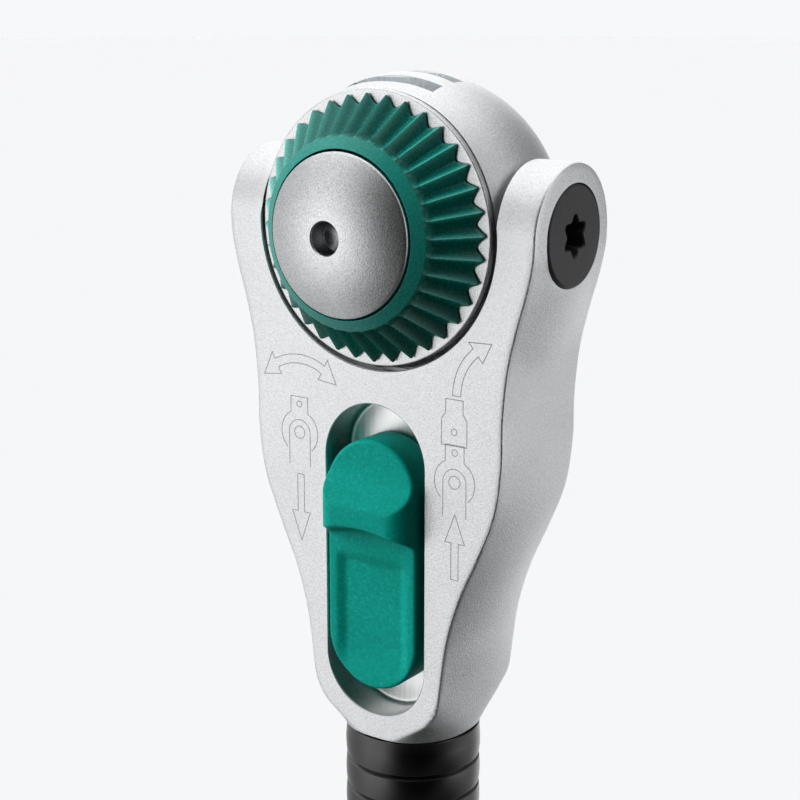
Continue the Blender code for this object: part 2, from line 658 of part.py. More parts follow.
def build_drive(drive):
    """The ratchet wheel with its neck and square, the bush it runs in, and the socket ball."""
    gear = prism("drive_gear", gear_outline(GEAR_RADIUS, TOOTH_DEPTH), GEAR_BACK - GEAR_FRONT, TOOL_STEEL)
    place(gear, (0, (GEAR_FRONT + GEAR_BACK) / 2, 0), FRONT_VIEW, drive)
    neck = rod("drive_neck", NECK_RADIUS, GEAR_BACK - OVERLAP, SQUARE_START, steps=RING_STEPS)
    fuse(gear, place(neck, turn=ALONG_Y, parent=drive))
    length = SQUARE_LENGTH + OVERLAP
    square = block("drive_square", (SQUARE_WIDTH, length, SQUARE_WIDTH))
    chamfer = square.modifiers.new("Chamfer", "BEVEL")
    chamfer.width = SQUARE_CHAMFER
    chamfer.segments = 1
    fuse(gear, place(square, (0, DRIVE_END - length / 2, 0), parent=drive))
    bore_end = DRIVE_END - DRIVE_END_WALL
    bore = rod("release_bore", RELEASE_PIN_RADIUS + RUN_GAP, 2 * GEAR_FRONT, bore_end, steps=RING_STEPS)
    cut(gear, place(bore, turn=ALONG_Y, parent=drive))
    ball_hole = rod("ball_hole", LOCKING_BALL_RADIUS + GAP, RELEASE_PIN_RADIUS / 2, SQUARE_WIDTH)
    cut(gear, place(ball_hole, (0, BALL_STATION, 0), parent=drive))
    ball = globe("locking_ball", LOCKING_BALL_RADIUS, TOOL_STEEL)
    place(ball, (0, BALL_STATION, LOCKING_BALL_CENTRE), parent=drive)


def build_drive_bush(head):
    """The bronze bush in the back of the ball that carries the drive's neck."""
    inner = NECK_RADIUS + RUN_GAP
    bush = tube("drive_bush", inner, inner + BUSH_WALL, GEAR_BACK + 2 * GAP, BALL_BACK - GAP, BRONZE)
    place(bush, turn=ALONG_Y, parent=head)


def pawl_pin_end():
    """The back end of the pawl's pin, in the housing behind the gear."""
    return GEAR_BACK + PAWL_PIN_GRIP


def rocked(outline, angle):
    """An outline about the drive axis, moved to the pawl's pivot and turned about it."""
    points = []
    for across, height in outline:
        up = height - PAWL_PIVOT_RADIUS
        points.append((across * math.cos(angle) - up * math.sin(angle),
                       across * math.sin(angle) + up * math.cos(angle)))
    return points


def build_pawl(head, pawl_pivot):
    """The rocking pawl, toothed at both ends by the gear itself, on its pin."""
    front = HUB_END - PAWL_CAM_DEPTH
    back = GEAR_BACK - GAP
    blank = pawl_outline(PAWL_OUTER_RADIUS, PAWL_BOSS_RADIUS, PAWL_HALF_ANGLE, GEAR_RADIUS - TOOTH_DEPTH)
    pawl = prism("pawl", rocked(blank, PAWL_ROCK / 2), back - front, TOOL_STEEL)
    place(pawl, (0, (front + back) / 2, 0), FRONT_VIEW, pawl_pivot)
    teeth = gear_outline(GEAR_RADIUS + PAWL_TOOTH_GAP, TOOTH_DEPTH)
    for name, turn in (("engaged", 0.0), ("rocked", PAWL_ROCK)):
        cutter = prism("teeth_" + name, rocked(teeth, turn), 4 * GEAR_BACK)
        cut(pawl, place(cutter, (0, 2 * GEAR_BACK + GEAR_FRONT - GAP, 0), FRONT_VIEW, pawl_pivot))
    start = math.pi / 2 - PAWL_TOOTH_START
    bare = arc(0, 0, GEAR_RADIUS + PAWL_MIDDLE_GAP, start, math.pi - start, 10) + [(0, 0)]
    middle = prism("pawl_middle", rocked(bare, 0.0), 8 * GEAR_BACK)
    cut(pawl, place(middle, turn=FRONT_VIEW, parent=pawl_pivot))
    cam = rod("pawl_cam", HUB_RADIUS + PAWL_CAM_ROOM, 4 * HUB_END, HUB_END + GAP / 2, steps=BALL_STEPS)
    cut(pawl, place(cam, (0, 0, -PAWL_PIVOT_RADIUS), ALONG_Y, pawl_pivot))
    hole = rod("pawl_hole", PAWL_PIN_RADIUS + GAP, 3 * front, 3 * back)
    cut(pawl, place(hole, turn=ALONG_Y, parent=pawl_pivot))
    pin = rod("pawl_pin", PAWL_PIN_RADIUS, BALL_FRONT, pawl_pin_end(), TOOL_STEEL)
    place(pin, (0, 0, PAWL_PIVOT_RADIUS), ALONG_Y, head)


def build_thumbwheel(wheel):
    """The knurled thumbwheel, the clip that holds it, and the sprung plunger that rocks the pawl."""
    base = RIM_FRONT - GAP
    groove_front = RIM_FRONT + COVER_THICKNESS + GAP / 2
    groove_back = groove_front + CLIP_THICKNESS + GAP
    groove_radius = HUB_RADIUS - CLIP_STAND_OUT
    cup_radius = BUTTON_RADIUS + RUN_GAP
    thumbwheel = turned("thumbwheel", [
        (HUB_RADIUS, HUB_END), (HUB_RADIUS, groove_back), (groove_radius, groove_back),
        (groove_radius, groove_front), (HUB_RADIUS, groove_front), (HUB_RADIUS, base),
        (WHEEL_BASE_RADIUS, base), (WHEEL_BASE_RADIUS, base - GAP), (WHEEL_FACE_RADIUS, WHEEL_FACE),
        (cup_radius, WHEEL_FACE), (cup_radius, CUP_FLOOR), (SPRING_BORE_RADIUS, CUP_FLOOR),
        (SPRING_BORE_RADIUS, HUB_END)], GREEN_PLASTIC, WHEEL_TEETH, ring=True)
    place(thumbwheel, turn=ALONG_Y, parent=wheel)
    cut(thumbwheel, place(knurl_cutter(base), parent=wheel))
    turn = (0, WHEEL_TURN / 2, 0)
    at = (0, HUB_END - PLUNGER_RADIUS - 2 * GAP, 0)
    bore_start = SPRING_BORE_RADIUS + PLUNGER_WALL
    bore = rod("plunger_bore", PLUNGER_RADIUS + GAP, bore_start, 2 * HUB_RADIUS)
    cut(thumbwheel, place(bore, at, turn, wheel))
    tip = HUB_RADIUS + PLUNGER_REACH
    foot = tip - PLUNGER_LENGTH
    nose = arc(0, tip - PLUNGER_RADIUS, PLUNGER_RADIUS, math.pi / 2, 0, 5)[1:]
    profile = [(0, tip), *nose, (PLUNGER_RADIUS, foot), (0, foot)]
    plunger = turned("pawl_plunger", profile, TOOL_STEEL, PIN_STEPS)
    place(plunger, at, turn, wheel)
    spring = coil("pawl_spring", PLUNGER_RADIUS - 2 * PLUNGER_WIRE, PLUNGER_WIRE, bore_start + GAP / 2,
                  foot - GAP / 2, 2, TOOL_STEEL)
    place(spring, at, turn, wheel)
    clip = tube("thumbwheel_clip", groove_radius + GAP, HUB_RADIUS + 2 * GAP, groove_front + GAP / 2,
                groove_back - GAP / 2, TOOL_STEEL)
    place(clip, turn=ALONG_Y, parent=wheel)
    mouth = block("clip_mouth", (HUB_RADIUS, CLIP_THICKNESS * 6, 2 * HUB_RADIUS))
    cut(clip, place(mouth, (0, groove_front, -HUB_RADIUS), parent=wheel))


def knurl_cutter(base):
    """The V grooves between the thumbwheel's teeth, as one ring of wedges that deepen outwards."""
    pitch = 2 * math.pi / WHEEL_TEETH
    rise = (WHEEL_BASE_RADIUS - WHEEL_FACE_RADIUS) / (base - WHEEL_FACE)
    over = 2 * OVERLAP
    outer = WHEEL_BASE_RADIUS + over * rise
    mesh = bpy.data.meshes.new("knurl_grooves")
    shape = bmesh.new()
    for tooth in range(WHEEL_TEETH):
        middle = (tooth + 0.5) * pitch
        corners = [(WHEEL_FACE_RADIUS + GAP, WHEEL_FACE + GAP / 2, 0.0)]
        for radius, along, side in ((outer, base + over, 1), (outer, base + over, -1),
                                    (outer + 3 * over, WHEEL_FACE, 1), (outer + 3 * over, WHEEL_FACE, -1)):
            corners.append((radius, along, side * KNURL_SHARE * pitch))
        corners.append((outer - KNURL_DEPTH, base + over, 0.0))
        points = []
        for radius, along, angle in corners:
            at = (radius * math.cos(middle + angle), along, radius * math.sin(middle + angle))
            points.append(shape.verts.new(at))
        bmesh.ops.convex_hull(shape, input=points)
    bmesh.ops.recalc_face_normals(shape, faces=shape.faces)
    shape.to_mesh(mesh)
    shape.free()
    return link("knurl_grooves", mesh, None)


def build_button(button):
    """The domed push button with its dimple, its spring, and the pin that frees the socket ball."""
    back = BUTTON_RIM + BUTTON_SKIRT
    socket = back - RELEASE_SOCKET_DEPTH
    sag = BUTTON_RIM - BUTTON_APEX
    dome = (BUTTON_RADIUS ** 2 + sag ** 2) / (2 * sag)
    centre = BUTTON_APEX + dome
    edge = math.asin(BUTTON_RADIUS / dome)
    hole = math.asin(DIMPLE_RADIUS / dome)
    bulge = [(dome * math.sin(a), centre - dome * math.cos(a))
             for a in (edge + (hole - edge) * i / 6 for i in range(7))]
    floor = BUTTON_APEX + DIMPLE_DEPTH
    pin_socket = RELEASE_PIN_RADIUS + GAP
    cap = turned("push_button", [
        (0, socket), (pin_socket, socket), (pin_socket, back), (BUTTON_RADIUS, back), *bulge,
        (DIMPLE_RADIUS, floor), (0, floor)], SATIN_CHROME)
    place(cap, turn=ALONG_Y, parent=button)
    land = BALL_STATION - RELEASE_LAND
    waist_end = BALL_STATION - BUTTON_TRAVEL - RELEASE_RAMP / 2
    end = DRIVE_END - DRIVE_END_WALL - BUTTON_TRAVEL - RUN_GAP
    start = socket + GAP
    pin = turned("release_pin", [
        (0, end), (RELEASE_PIN_RADIUS, end), (RELEASE_PIN_RADIUS, land),
        (RELEASE_WAIST_RADIUS, land - RELEASE_RAMP), (RELEASE_WAIST_RADIUS, waist_end),
        (RELEASE_PIN_RADIUS, waist_end - RELEASE_RAMP), (RELEASE_PIN_RADIUS, start), (0, start)],
        TOOL_STEEL, HANDLE_STEPS)
    place(pin, turn=ALONG_Y, parent=button)
    spring = coil("button_spring", SPRING_BORE_RADIUS - 3 * BUTTON_WIRE, BUTTON_WIRE, back + GAP,
                  GEAR_FRONT - GAP, 4, TOOL_STEEL)
    place(spring, turn=ALONG_Y, parent=button)


def slide_profile(count):
    """The thumb slide seen from the side: down from its top end, how far it stands out of the face."""
    length = SLIDE_TOP - SLIDE_BOTTOM
    points = []
    for step in range(count + 1):
        down = length * step / count
        if down < SLIDE_PEAK_OFFSET:
            share = math.sin(math.pi / 2 * down / SLIDE_PEAK_OFFSET)
            proud = SLIDE_PROUD + (SLIDE_PEAK - SLIDE_PROUD) * share
        elif down < SLIDE_SCOOP_OFFSET:
            share = (down - SLIDE_PEAK_OFFSET) / (SLIDE_SCOOP_OFFSET - SLIDE_PEAK_OFFSET)
            proud = SLIDE_SCOOP + (SLIDE_PEAK - SLIDE_SCOOP) * (1 + math.cos(math.pi * share)) / 2
        else:
            share = min(1.0, (down - SLIDE_SCOOP_OFFSET) / (SLIDE_SCOOP_OFFSET - SLIDE_PEAK_OFFSET))
            proud = SLIDE_SCOOP + (SLIDE_PROUD - SLIDE_SCOOP) * share
        points.append((HALF_DEPTH + proud, SLIDE_TOP - down))
    return points


def build_slides(lock):
    """The lock bolt, its two thumb slides, the pins that tie them, and the click balls."""
    body_top = TIP_TOP - TIP_LENGTH
    bolt = block("lock_bolt", (BOLT_WIDTH, BOLT_THICKNESS, body_top - BOLT_BOTTOM), TOOL_STEEL)
    place(bolt, (0, 0, (body_top + BOLT_BOTTOM) / 2), parent=lock)
    tip_thickness = NOTCH_OPENING - 2 * GAP
    tip_length = TIP_LENGTH + OVERLAP
    tip = block("bolt_tip", (BOLT_WIDTH, tip_thickness, tip_length))
    fuse(bolt, place(tip, (0, 0, TIP_TOP - tip_length / 2), parent=lock))
    floor = HALF_DEPTH - POCKET_DEPTH + GAP
    margin = 2 * OVERLAP
    pin_reach = HALF_DEPTH - GAP
    for side_name, facing in (("front", -1), ("back", 1)):
        surface = slide_profile(SLIDE_STEPS)
        side = [(facing * floor, SLIDE_BOTTOM - margin), (facing * floor, SLIDE_TOP + margin),
                (facing * surface[0][0], SLIDE_TOP + margin)]
        side += [(facing * out, up) for out, up in surface]
        side.append((facing * surface[-1][0], SLIDE_BOTTOM - margin))
        slide = prism("slide_button_" + side_name, side, 4 * SLIDE_HALF_WIDTH, GREEN_PLASTIC)
        place(slide, turn=SIDE_VIEW, parent=lock)
        outline = stadium(SLIDE_HALF_WIDTH, SLIDE_TOP, SLIDE_BOTTOM)
        plan = prism("slide_plan_" + side_name, outline, 4 * YOKE_DEPTH)
        keep(slide, place(plan, turn=FRONT_VIEW, parent=lock))
        for name, height in slide_pin_heights():
            hole = rod(f"hole_{side_name}_{name}", SLIDE_PIN_RADIUS + GAP, -pin_reach - GAP, pin_reach + GAP)
            cut(slide, place(hole, (0, 0, height), ALONG_Y, lock))
    for name, height in slide_pin_heights():
        pin = rod("slide_pin_" + name, SLIDE_PIN_RADIUS, -pin_reach, pin_reach, TOOL_STEEL)
        place(pin, (0, 0, height), ALONG_Y, lock)
        hole = rod("bolt_hole_" + name, SLIDE_PIN_RADIUS + GAP, -YOKE_DEPTH, YOKE_DEPTH)
        cut(bolt, place(hole, (0, 0, height), ALONG_Y, lock))
    build_clicks(bolt, lock)


def build_clicks(bolt, lock):
    """The two click balls and their spring, in a cross bore of the bolt."""
    bore = rod("click_bore", DETENT_BALL_RADIUS + GAP, -BOLT_WIDTH, BOLT_WIDTH)
    cut(bolt, place(bore, (0, 0, detent_height()), ALONG_X, lock))
    reach = BOLT_WIDTH / 2 + GAP / 2 - DETENT_BALL_RADIUS
    for side_name, sign in (("left", -1), ("right", 1)):
        ball = globe("click_ball_" + side_name, DETENT_BALL_RADIUS, TOOL_STEEL, 12, 6)
        place(ball, (sign * reach, 0, detent_height()), parent=lock)
    length = reach - DETENT_BALL_RADIUS - GAP
    coil_radius = DETENT_BALL_RADIUS - 2 * DETENT_WIRE
    spring = coil("click_spring", coil_radius, DETENT_WIRE, -length, length, 3, TOOL_STEEL)
    place(spring, (0, 0, detent_height()), ALONG_X, lock)


def build_sleeve(spin):
    """The free-turning sleeve with its ring grooves, and the two bushes inside it."""
    inner = SLEEVE_RADIUS - SLEEVE_WALL
    profile = []
    for band in range(SLEEVE_BANDS):
        top = SLEEVE_TOP - band * BAND_PITCH
        profile += [(SLEEVE_RADIUS - BAND_GROOVE, top), (SLEEVE_RADIUS, top - BAND_SHOULDER),
                    (SLEEVE_RADIUS, top - BAND_PITCH + BAND_SHOULDER)]
    profile += [(SLEEVE_RADIUS - BAND_GROOVE, SLEEVE_BOTTOM), (inner, SLEEVE_BOTTOM), (inner, SLEEVE_TOP)]
    place(turned("sleeve", profile, BLACK_PLASTIC, HANDLE_STEPS, ring=True), parent=spin)
    ends = (("top", SLEEVE_TOP - GAP - SLEEVE_BUSH_LENGTH), ("bottom", SLEEVE_BOTTOM + GAP))
    for name, low in ends:
        bush = tube("sleeve_bush_" + name, SHANK_RADIUS + RUN_GAP, inner - GAP, low, low + SLEEVE_BUSH_LENGTH,
                    BRONZE, HANDLE_STEPS)
        place(bush, parent=spin)


def build_washers():
    """The thrust washers above and below the sleeve."""
    outer = SLEEVE_RADIUS - BAND_GROOVE - GAP
    for name, low in (("top", SLEEVE_TOP + GAP), ("bottom", HANDLE_TOP + GAP)):
        tube("sleeve_washer_" + name, SHANK_RADIUS + GAP, outer, low, low + WASHER_THICKNESS,
             TOOL_STEEL, HANDLE_STEPS)


def handle_outline():
    """The handle's outer profile from the top down, as (radius, height)."""
    points = [
        (HANDLE_NECK_RADIUS, HANDLE_TOP),
        (HANDLE_GUARD_RADIUS, HANDLE_TOP - COLLAR_HEIGHT),
        (HANDLE_WAIST_RADIUS, HANDLE_WAIST_SHARE * HANDLE_TOP),
        (HANDLE_BELLY_RADIUS, HANDLE_BELLY_SHARE * HANDLE_TOP),
        (HANDLE_HEEL_RADIUS, CAP_HEIGHT)]
    return smooth_line(points, 3)


def handle_pin_height():
    """The height of the cross pin that locks the shank in the handle."""
    return HANDLE_PIN_SHARE * HANDLE_TOP


def build_handle():
    """The hard core, the soft grip over it, the end cap and the cross pin."""
    outline = handle_outline()
    collar = [p for p in outline if p[1] >= HANDLE_TOP - COLLAR_HEIGHT]
    skin = [p for p in outline if p[1] <= HANDLE_TOP - COLLAR_HEIGHT]
    bore = SHANK_RADIUS + GAP
    under = [(radius - GRIP_WALL - GAP, height) for radius, height in skin]
    spigot_hole = CAP_SPIGOT_RADIUS + GAP
    cap_top = CAP_HEIGHT + CAP_SPIGOT_LENGTH
    core = turned("handle_core", collar + under + [
        (under[-1][0], CAP_HEIGHT + GAP), (spigot_hole, CAP_HEIGHT + GAP), (spigot_hole, cap_top + GAP),
        (bore, cap_top + GAP), (bore, HANDLE_TOP)], BLACK_PLASTIC, HANDLE_STEPS, ring=True)
    grip_top = HANDLE_TOP - COLLAR_HEIGHT - GAP
    grip_skin = [(skin[0][0], grip_top)] + skin[1:]
    grip_skin[-1] = (skin[-1][0], CAP_HEIGHT + GAP)
    inside = [(radius - GRIP_WALL, height) for radius, height in reversed(grip_skin)]
    turned("handle_grip", grip_skin + inside, BLACK_RUBBER, HANDLE_STEPS, ring=True)
    corner = HANDLE_HEEL_RADIUS - HANDLE_END_RADIUS
    turned("end_cap", [
        (0, cap_top), (CAP_SPIGOT_RADIUS, cap_top), (CAP_SPIGOT_RADIUS, CAP_HEIGHT),
        (HANDLE_HEEL_RADIUS, CAP_HEIGHT), *arc(HANDLE_END_RADIUS, corner, corner, 0, -math.pi / 2, 5),
        (0, 0)], GREEN_PLASTIC, HANDLE_STEPS)
    height = handle_pin_height()
    radius = min(r for r, h in under)
    pin = rod("handle_pin", HANDLE_PIN_RADIUS, -radius + GAP, radius - GAP, TOOL_STEEL)
    place(pin, (0, 0, height), ALONG_X)
    hole = rod("core_pin_hole", HANDLE_PIN_RADIUS + GAP, -2 * radius, 2 * radius)
    cut(core, place(hole, (0, 0, height), ALONG_X))


def build_ratchet():
    """Build every piece under the empty of the body that it moves with."""
    head = pivot_empty("head_pivot", (0, 0, PIVOT_HEIGHT))
    drive = pivot_empty("drive_axis", (0, 0, 0), head)
    wheel = pivot_empty("thumbwheel_axis", (0, 0, 0), head)
    button = pivot_empty("button_axis", (0, 0, 0), drive)
    pawl_pivot = pivot_empty("pawl_axis", (0, 0, PAWL_PIVOT_RADIUS), head)
    lock = pivot_empty("lock_slide_axis", (0, 0, PIVOT_HEIGHT))
    spin = pivot_empty("sleeve_axis", (0, 0, 0))
    build_yoke()
    build_pivots(head)
    build_housing(head)
    build_cover(head)
    build_drive(drive)
    build_drive_bush(head)
    build_pawl(head, pawl_pivot)
    build_thumbwheel(wheel)
    build_button(button)
    build_slides(lock)
    build_sleeve(spin)
    build_washers()
    build_handle()
    bpy.context.view_layer.update()


build_ratchet()
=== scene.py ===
"""Looks of the swivel-head socket ratchet: dense surfaces, finishes, marks, studio light and camera.

Sizes are in millimetres from the swivel centre, and angles in degrees, unless it is said otherwise.
-Y is the thumbwheel side, +Y the square drive side, and +Z runs from the handle to the head.
"""

import logging
import math
from dataclasses import dataclass, field, replace
from enum import Enum
from typing import Any

import bmesh
import bpy
import numpy as np
from mathutils import Matrix

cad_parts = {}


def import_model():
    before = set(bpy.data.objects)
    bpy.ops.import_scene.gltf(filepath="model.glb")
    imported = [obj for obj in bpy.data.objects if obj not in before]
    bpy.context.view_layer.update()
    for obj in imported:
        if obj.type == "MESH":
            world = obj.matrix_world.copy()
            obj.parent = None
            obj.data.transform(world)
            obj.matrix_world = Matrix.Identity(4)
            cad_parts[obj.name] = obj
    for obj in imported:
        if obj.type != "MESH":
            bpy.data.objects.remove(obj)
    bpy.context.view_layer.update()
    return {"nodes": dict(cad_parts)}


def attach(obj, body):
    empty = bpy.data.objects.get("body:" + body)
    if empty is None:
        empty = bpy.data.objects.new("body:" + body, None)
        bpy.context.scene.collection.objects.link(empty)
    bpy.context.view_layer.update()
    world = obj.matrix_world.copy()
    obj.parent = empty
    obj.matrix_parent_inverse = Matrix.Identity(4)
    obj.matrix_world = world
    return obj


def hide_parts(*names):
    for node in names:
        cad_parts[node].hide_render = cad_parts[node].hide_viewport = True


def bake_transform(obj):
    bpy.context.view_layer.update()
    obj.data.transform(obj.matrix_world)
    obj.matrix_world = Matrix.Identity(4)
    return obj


Array = np.ndarray
Colour = tuple[float, float, float]
Direction = tuple[float, float, float]
Span = tuple[float, float]
Knots = tuple[Span, ...]
Outline = tuple[Array, bool]
Tree = bpy.types.NodeTree
Socket = bpy.types.NodeSocket

MM = 0.001
TAU = 2.0 * math.pi
TINY = 1e-6
NO_LENGTH = 1e-12
SWIVEL = np.array([0.0, 0.0, 179.7])
STAND = np.zeros(3)
MERGE_GAP = 0.002
SLIVER = 0.001
EDGE_START = 0.06
EDGE_GAIN = 4.0
WIDE_FACE_WEIGHT = 80
LOG = logging.getLogger("ratchet")


class Axis(Enum):
    """A turning axis, with the two directions that its angle runs through."""

    X = ((1, 0, 0), (0, 1, 0), (0, 0, 1))
    Y = ((0, 1, 0), (1, 0, 0), (0, 0, 1))
    Z = ((0, 0, 1), (1, 0, 0), (0, 1, 0))


class Grain(Enum):
    """The scale of a finish's fine grain along X, Y and Z. A small one draws the grain out that way."""

    EVEN = (1.0, 1.0, 1.0)
    ALONG_Y = (1.0, 0.06, 1.0)
    ALONG_Z = (1.0, 1.0, 0.06)


class Side(Enum):
    """The front or the back of the yoke, as the sign of Y there."""

    FRONT = -1.0
    BACK = 1.0


def set_range(node: bpy.types.Node, limits: tuple[float, ...]) -> None:
    """Sets a Map Range node's limits: from low, from high, to low, to high."""
    for name, limit in zip(("From Min", "From Max", "To Min", "To Max"), limits):
        node.inputs[name].default_value = limit


@dataclass(frozen=True)
class Finish:
    """A surface finish: two colours mixed by soft clouds and fine grain, with roughness and relief.

    The texture is the mix's shares of grain and clouds, around one half. The two colours lie a spread
    to either side of that, and pale specks a gap further up, which on the slides are partly the moulded
    texture and partly painted glints. Between the contrast's two values the roughness goes from its
    first to its second. The vertex attribute "edge" is high on convex edges, where the finish turns to
    its rubbed colour; on the wheel's tooth ridges the same attribute and colour paint a highlight.
    """

    name: str
    slot: str
    dark: Colour
    light: Colour
    worn_and_highlight: Colour
    metallic: float
    roughness: Span
    grain_per_mm: float
    cloud_per_mm: float
    relief: float
    grain: Grain = Grain.EVEN
    wear_and_highlight: float = 0.5
    specks: float = 0.0
    specular: float = 0.5
    spread: float = 0.12
    speck_gap: float = 0.06
    mix: Span = (0.8, 0.2)
    contrast: Span = (0.25, 0.75)
    grain_detail: Span = (3.0, 0.62)
    cloud_detail: float = 2.0
    bump: float = 0.6

    def material(self) -> bpy.types.Material:
        """Finds or makes the node material of this finish.

        Returns:
            The material, whose colour, roughness and bump follow Object coordinates.
        """
        title = f"{self.name}_finish"
        found = bpy.data.materials.get(title)
        if found:
            return found
        made = bpy.data.materials.new(title)
        made.use_nodes = True
        tree = made.node_tree
        shader = tree.nodes["Principled BSDF"]
        shader.inputs["Metallic"].default_value = self.metallic
        shader.inputs["Specular IOR Level"].default_value = self.specular
        grain, cloud = self._textures(tree)
        blend = self._node(tree, "ShaderNodeMath", operation="MULTIPLY_ADD")
        blend.inputs[1].default_value = self.mix[0]
        tree.links.new(grain, blend.inputs[0])
        tree.links.new(self._scaled(tree, cloud, self.mix[1]), blend.inputs[2])
        colour = self._ramp(tree, blend.outputs[0])
        tree.links.new(self._mix_worn_and_highlight(tree, colour), shader.inputs["Base Color"])
        rough = self._node(tree, "ShaderNodeMapRange")
        set_range(rough, (*self.contrast, *self.roughness))
        tree.links.new(blend.outputs[0], rough.inputs["Value"])
        tree.links.new(rough.outputs[0], shader.inputs["Roughness"])
        bump = self._node(tree, "ShaderNodeBump")
        bump.inputs["Strength"].default_value = self.bump
        bump.inputs["Distance"].default_value = self.relief * MM
        tree.links.new(grain, bump.inputs["Height"])
        tree.links.new(bump.outputs[0], shader.inputs["Normal"])
        return made

    def _node(self, tree: Tree, kind: str, **settings: Any) -> bpy.types.Node:
        """Adds a node.

        Args:
            tree: The material's nodes.
            kind: The node's type.
            settings: Its properties by name.

        Returns:
            The node.
        """
        node = tree.nodes.new(kind)
        for name, value in settings.items():
            setattr(node, name, value)
        return node

    def _scaled(self, tree: Tree, socket: Socket, factor: float) -> Socket:
        """Multiplies a value.

        Args:
            tree: The material's nodes.
            socket: The value.
            factor: What it is multiplied by.

        Returns:
            The product.
        """
        times = self._node(tree, "ShaderNodeMath", operation="MULTIPLY")
        times.inputs[1].default_value = factor
        tree.links.new(socket, times.inputs[0])
        return times.outputs[0]

    def _textures(self, tree: Tree) -> tuple[Socket, Socket]:
        """Adds the fine grain and the soft clouds.

        Args:
            tree: The material's nodes.

        Returns:
            The grain's value and the clouds' value, both around one half.
        """
        where = self._node(tree, "ShaderNodeTexCoord")
        drawn = self._node(tree, "ShaderNodeMapping")
        drawn.inputs["Scale"].default_value = self.grain.value
        tree.links.new(where.outputs["Object"], drawn.inputs["Vector"])
        grain = self._node(tree, "ShaderNodeTexNoise")
        grain.inputs["Scale"].default_value = self.grain_per_mm / MM
        grain.inputs["Detail"].default_value = self.grain_detail[0]
        grain.inputs["Roughness"].default_value = self.grain_detail[1]
        tree.links.new(drawn.outputs[0], grain.inputs["Vector"])
        cloud = self._node(tree, "ShaderNodeTexNoise")
        cloud.inputs["Scale"].default_value = self.cloud_per_mm / MM
        cloud.inputs["Detail"].default_value = self.cloud_detail
        tree.links.new(where.outputs["Object"], cloud.inputs["Vector"])
        return grain.outputs["Fac"], cloud.outputs["Fac"]

    def _ramp(self, tree: Tree, value: Socket) -> Socket:
        """Turns the blended texture into a colour between the dark and the light one.

        Args:
            tree: The material's nodes.
            value: The blended texture.

        Returns:
            The colour, with pale specks above the light end where the finish has them.
        """
        ramp = self._node(tree, "ShaderNodeValToRGB")
        low, high = ramp.color_ramp.elements
        low.position, high.position = 0.5 - self.spread, 0.5 + self.spread
        low.color, high.color = (*self.dark, 1.0), (*self.light, 1.0)
        # Pale specks: on the slides partly texture and partly painted glints.
        if self.specks:
            speck = ramp.color_ramp.elements.new(0.5 + self.spread + self.speck_gap)
            speck.color = (*(c + (1.0 - c) * self.specks for c in self.light), 1.0)
        tree.links.new(value, ramp.inputs["Fac"])
        return ramp.outputs["Color"]

    def _mix_worn_and_highlight(self, tree: Tree, colour: Socket) -> Socket:
        """Mixes the rubbed colour in where the edge attribute is high, a painted highlight on the wheel's
        ridges.

        Args:
            tree: The material's nodes.
            colour: The colour away from edges.

        Returns:
            The mixed colour.
        """
        edge = self._node(tree, "ShaderNodeAttribute", attribute_name="edge")
        mix = self._node(tree, "ShaderNodeMix", data_type="RGBA")
        tree.links.new(self._scaled(tree, edge.outputs["Fac"], self.wear_and_highlight), mix.inputs["Factor"])
        tree.links.new(colour, mix.inputs["A"])
        mix.inputs["B"].default_value = (*self.worn_and_highlight, 1.0)
        return mix.outputs["Result"]


SATIN_CHROME = Finish("satin_chrome", "satin_chrome", (0.60, 0.61, 0.62), (0.97, 0.975, 0.98),
                      (0.92, 0.92, 0.925), 1.0, (0.32, 0.46), 4.2, 0.05, 0.10, wear_and_highlight=0.6, spread=0.2)
# A little darker than satin chrome: painted shade for the rim ring's face, which the button and the drive
# share.
FINE_CHROME = Finish("fine_chrome", "satin_chrome", (0.56, 0.565, 0.57), (0.93, 0.935, 0.94),
                     (0.90, 0.90, 0.90), 1.0, (0.26, 0.36), 5.5, 0.08, 0.07, wear_and_highlight=0.6)
DARK_STEEL = Finish("dark_steel", "dark_steel", (0.045, 0.045, 0.048), (0.075, 0.075, 0.080),
                    (0.16, 0.16, 0.165), 0.35, (0.38, 0.52), 4.0, 0.3, 0.01)
SCREW_STEEL = replace(DARK_STEEL, name="screw_steel", wear_and_highlight=0.0)
TOOL_STEEL = Finish("tool_steel", "tool_steel", (0.40, 0.40, 0.41), (0.55, 0.55, 0.56),
                    (0.75, 0.75, 0.75), 1.0, (0.26, 0.38), 5.0, 0.2, 0.008, grain=Grain.ALONG_Y)
BRONZE = Finish("bronze", "bronze", (0.44, 0.27, 0.11), (0.62, 0.42, 0.20),
                (0.75, 0.55, 0.30), 1.0, (0.32, 0.48), 3.0, 0.2, 0.012)
# Its rubbed colour, a light mint, paints the highlight along the wheel's tooth ridges; on the end cap's edges
# it is rubbing.
WHEEL_GREEN = Finish("wheel_green", "green_plastic", (0.000, 0.135, 0.108), (0.001, 0.200, 0.162),
                     (0.090, 0.52, 0.44), 0.0, (0.22, 0.32), 3.2, 0.15, 0.012, wear_and_highlight=0.9, specular=0.36)
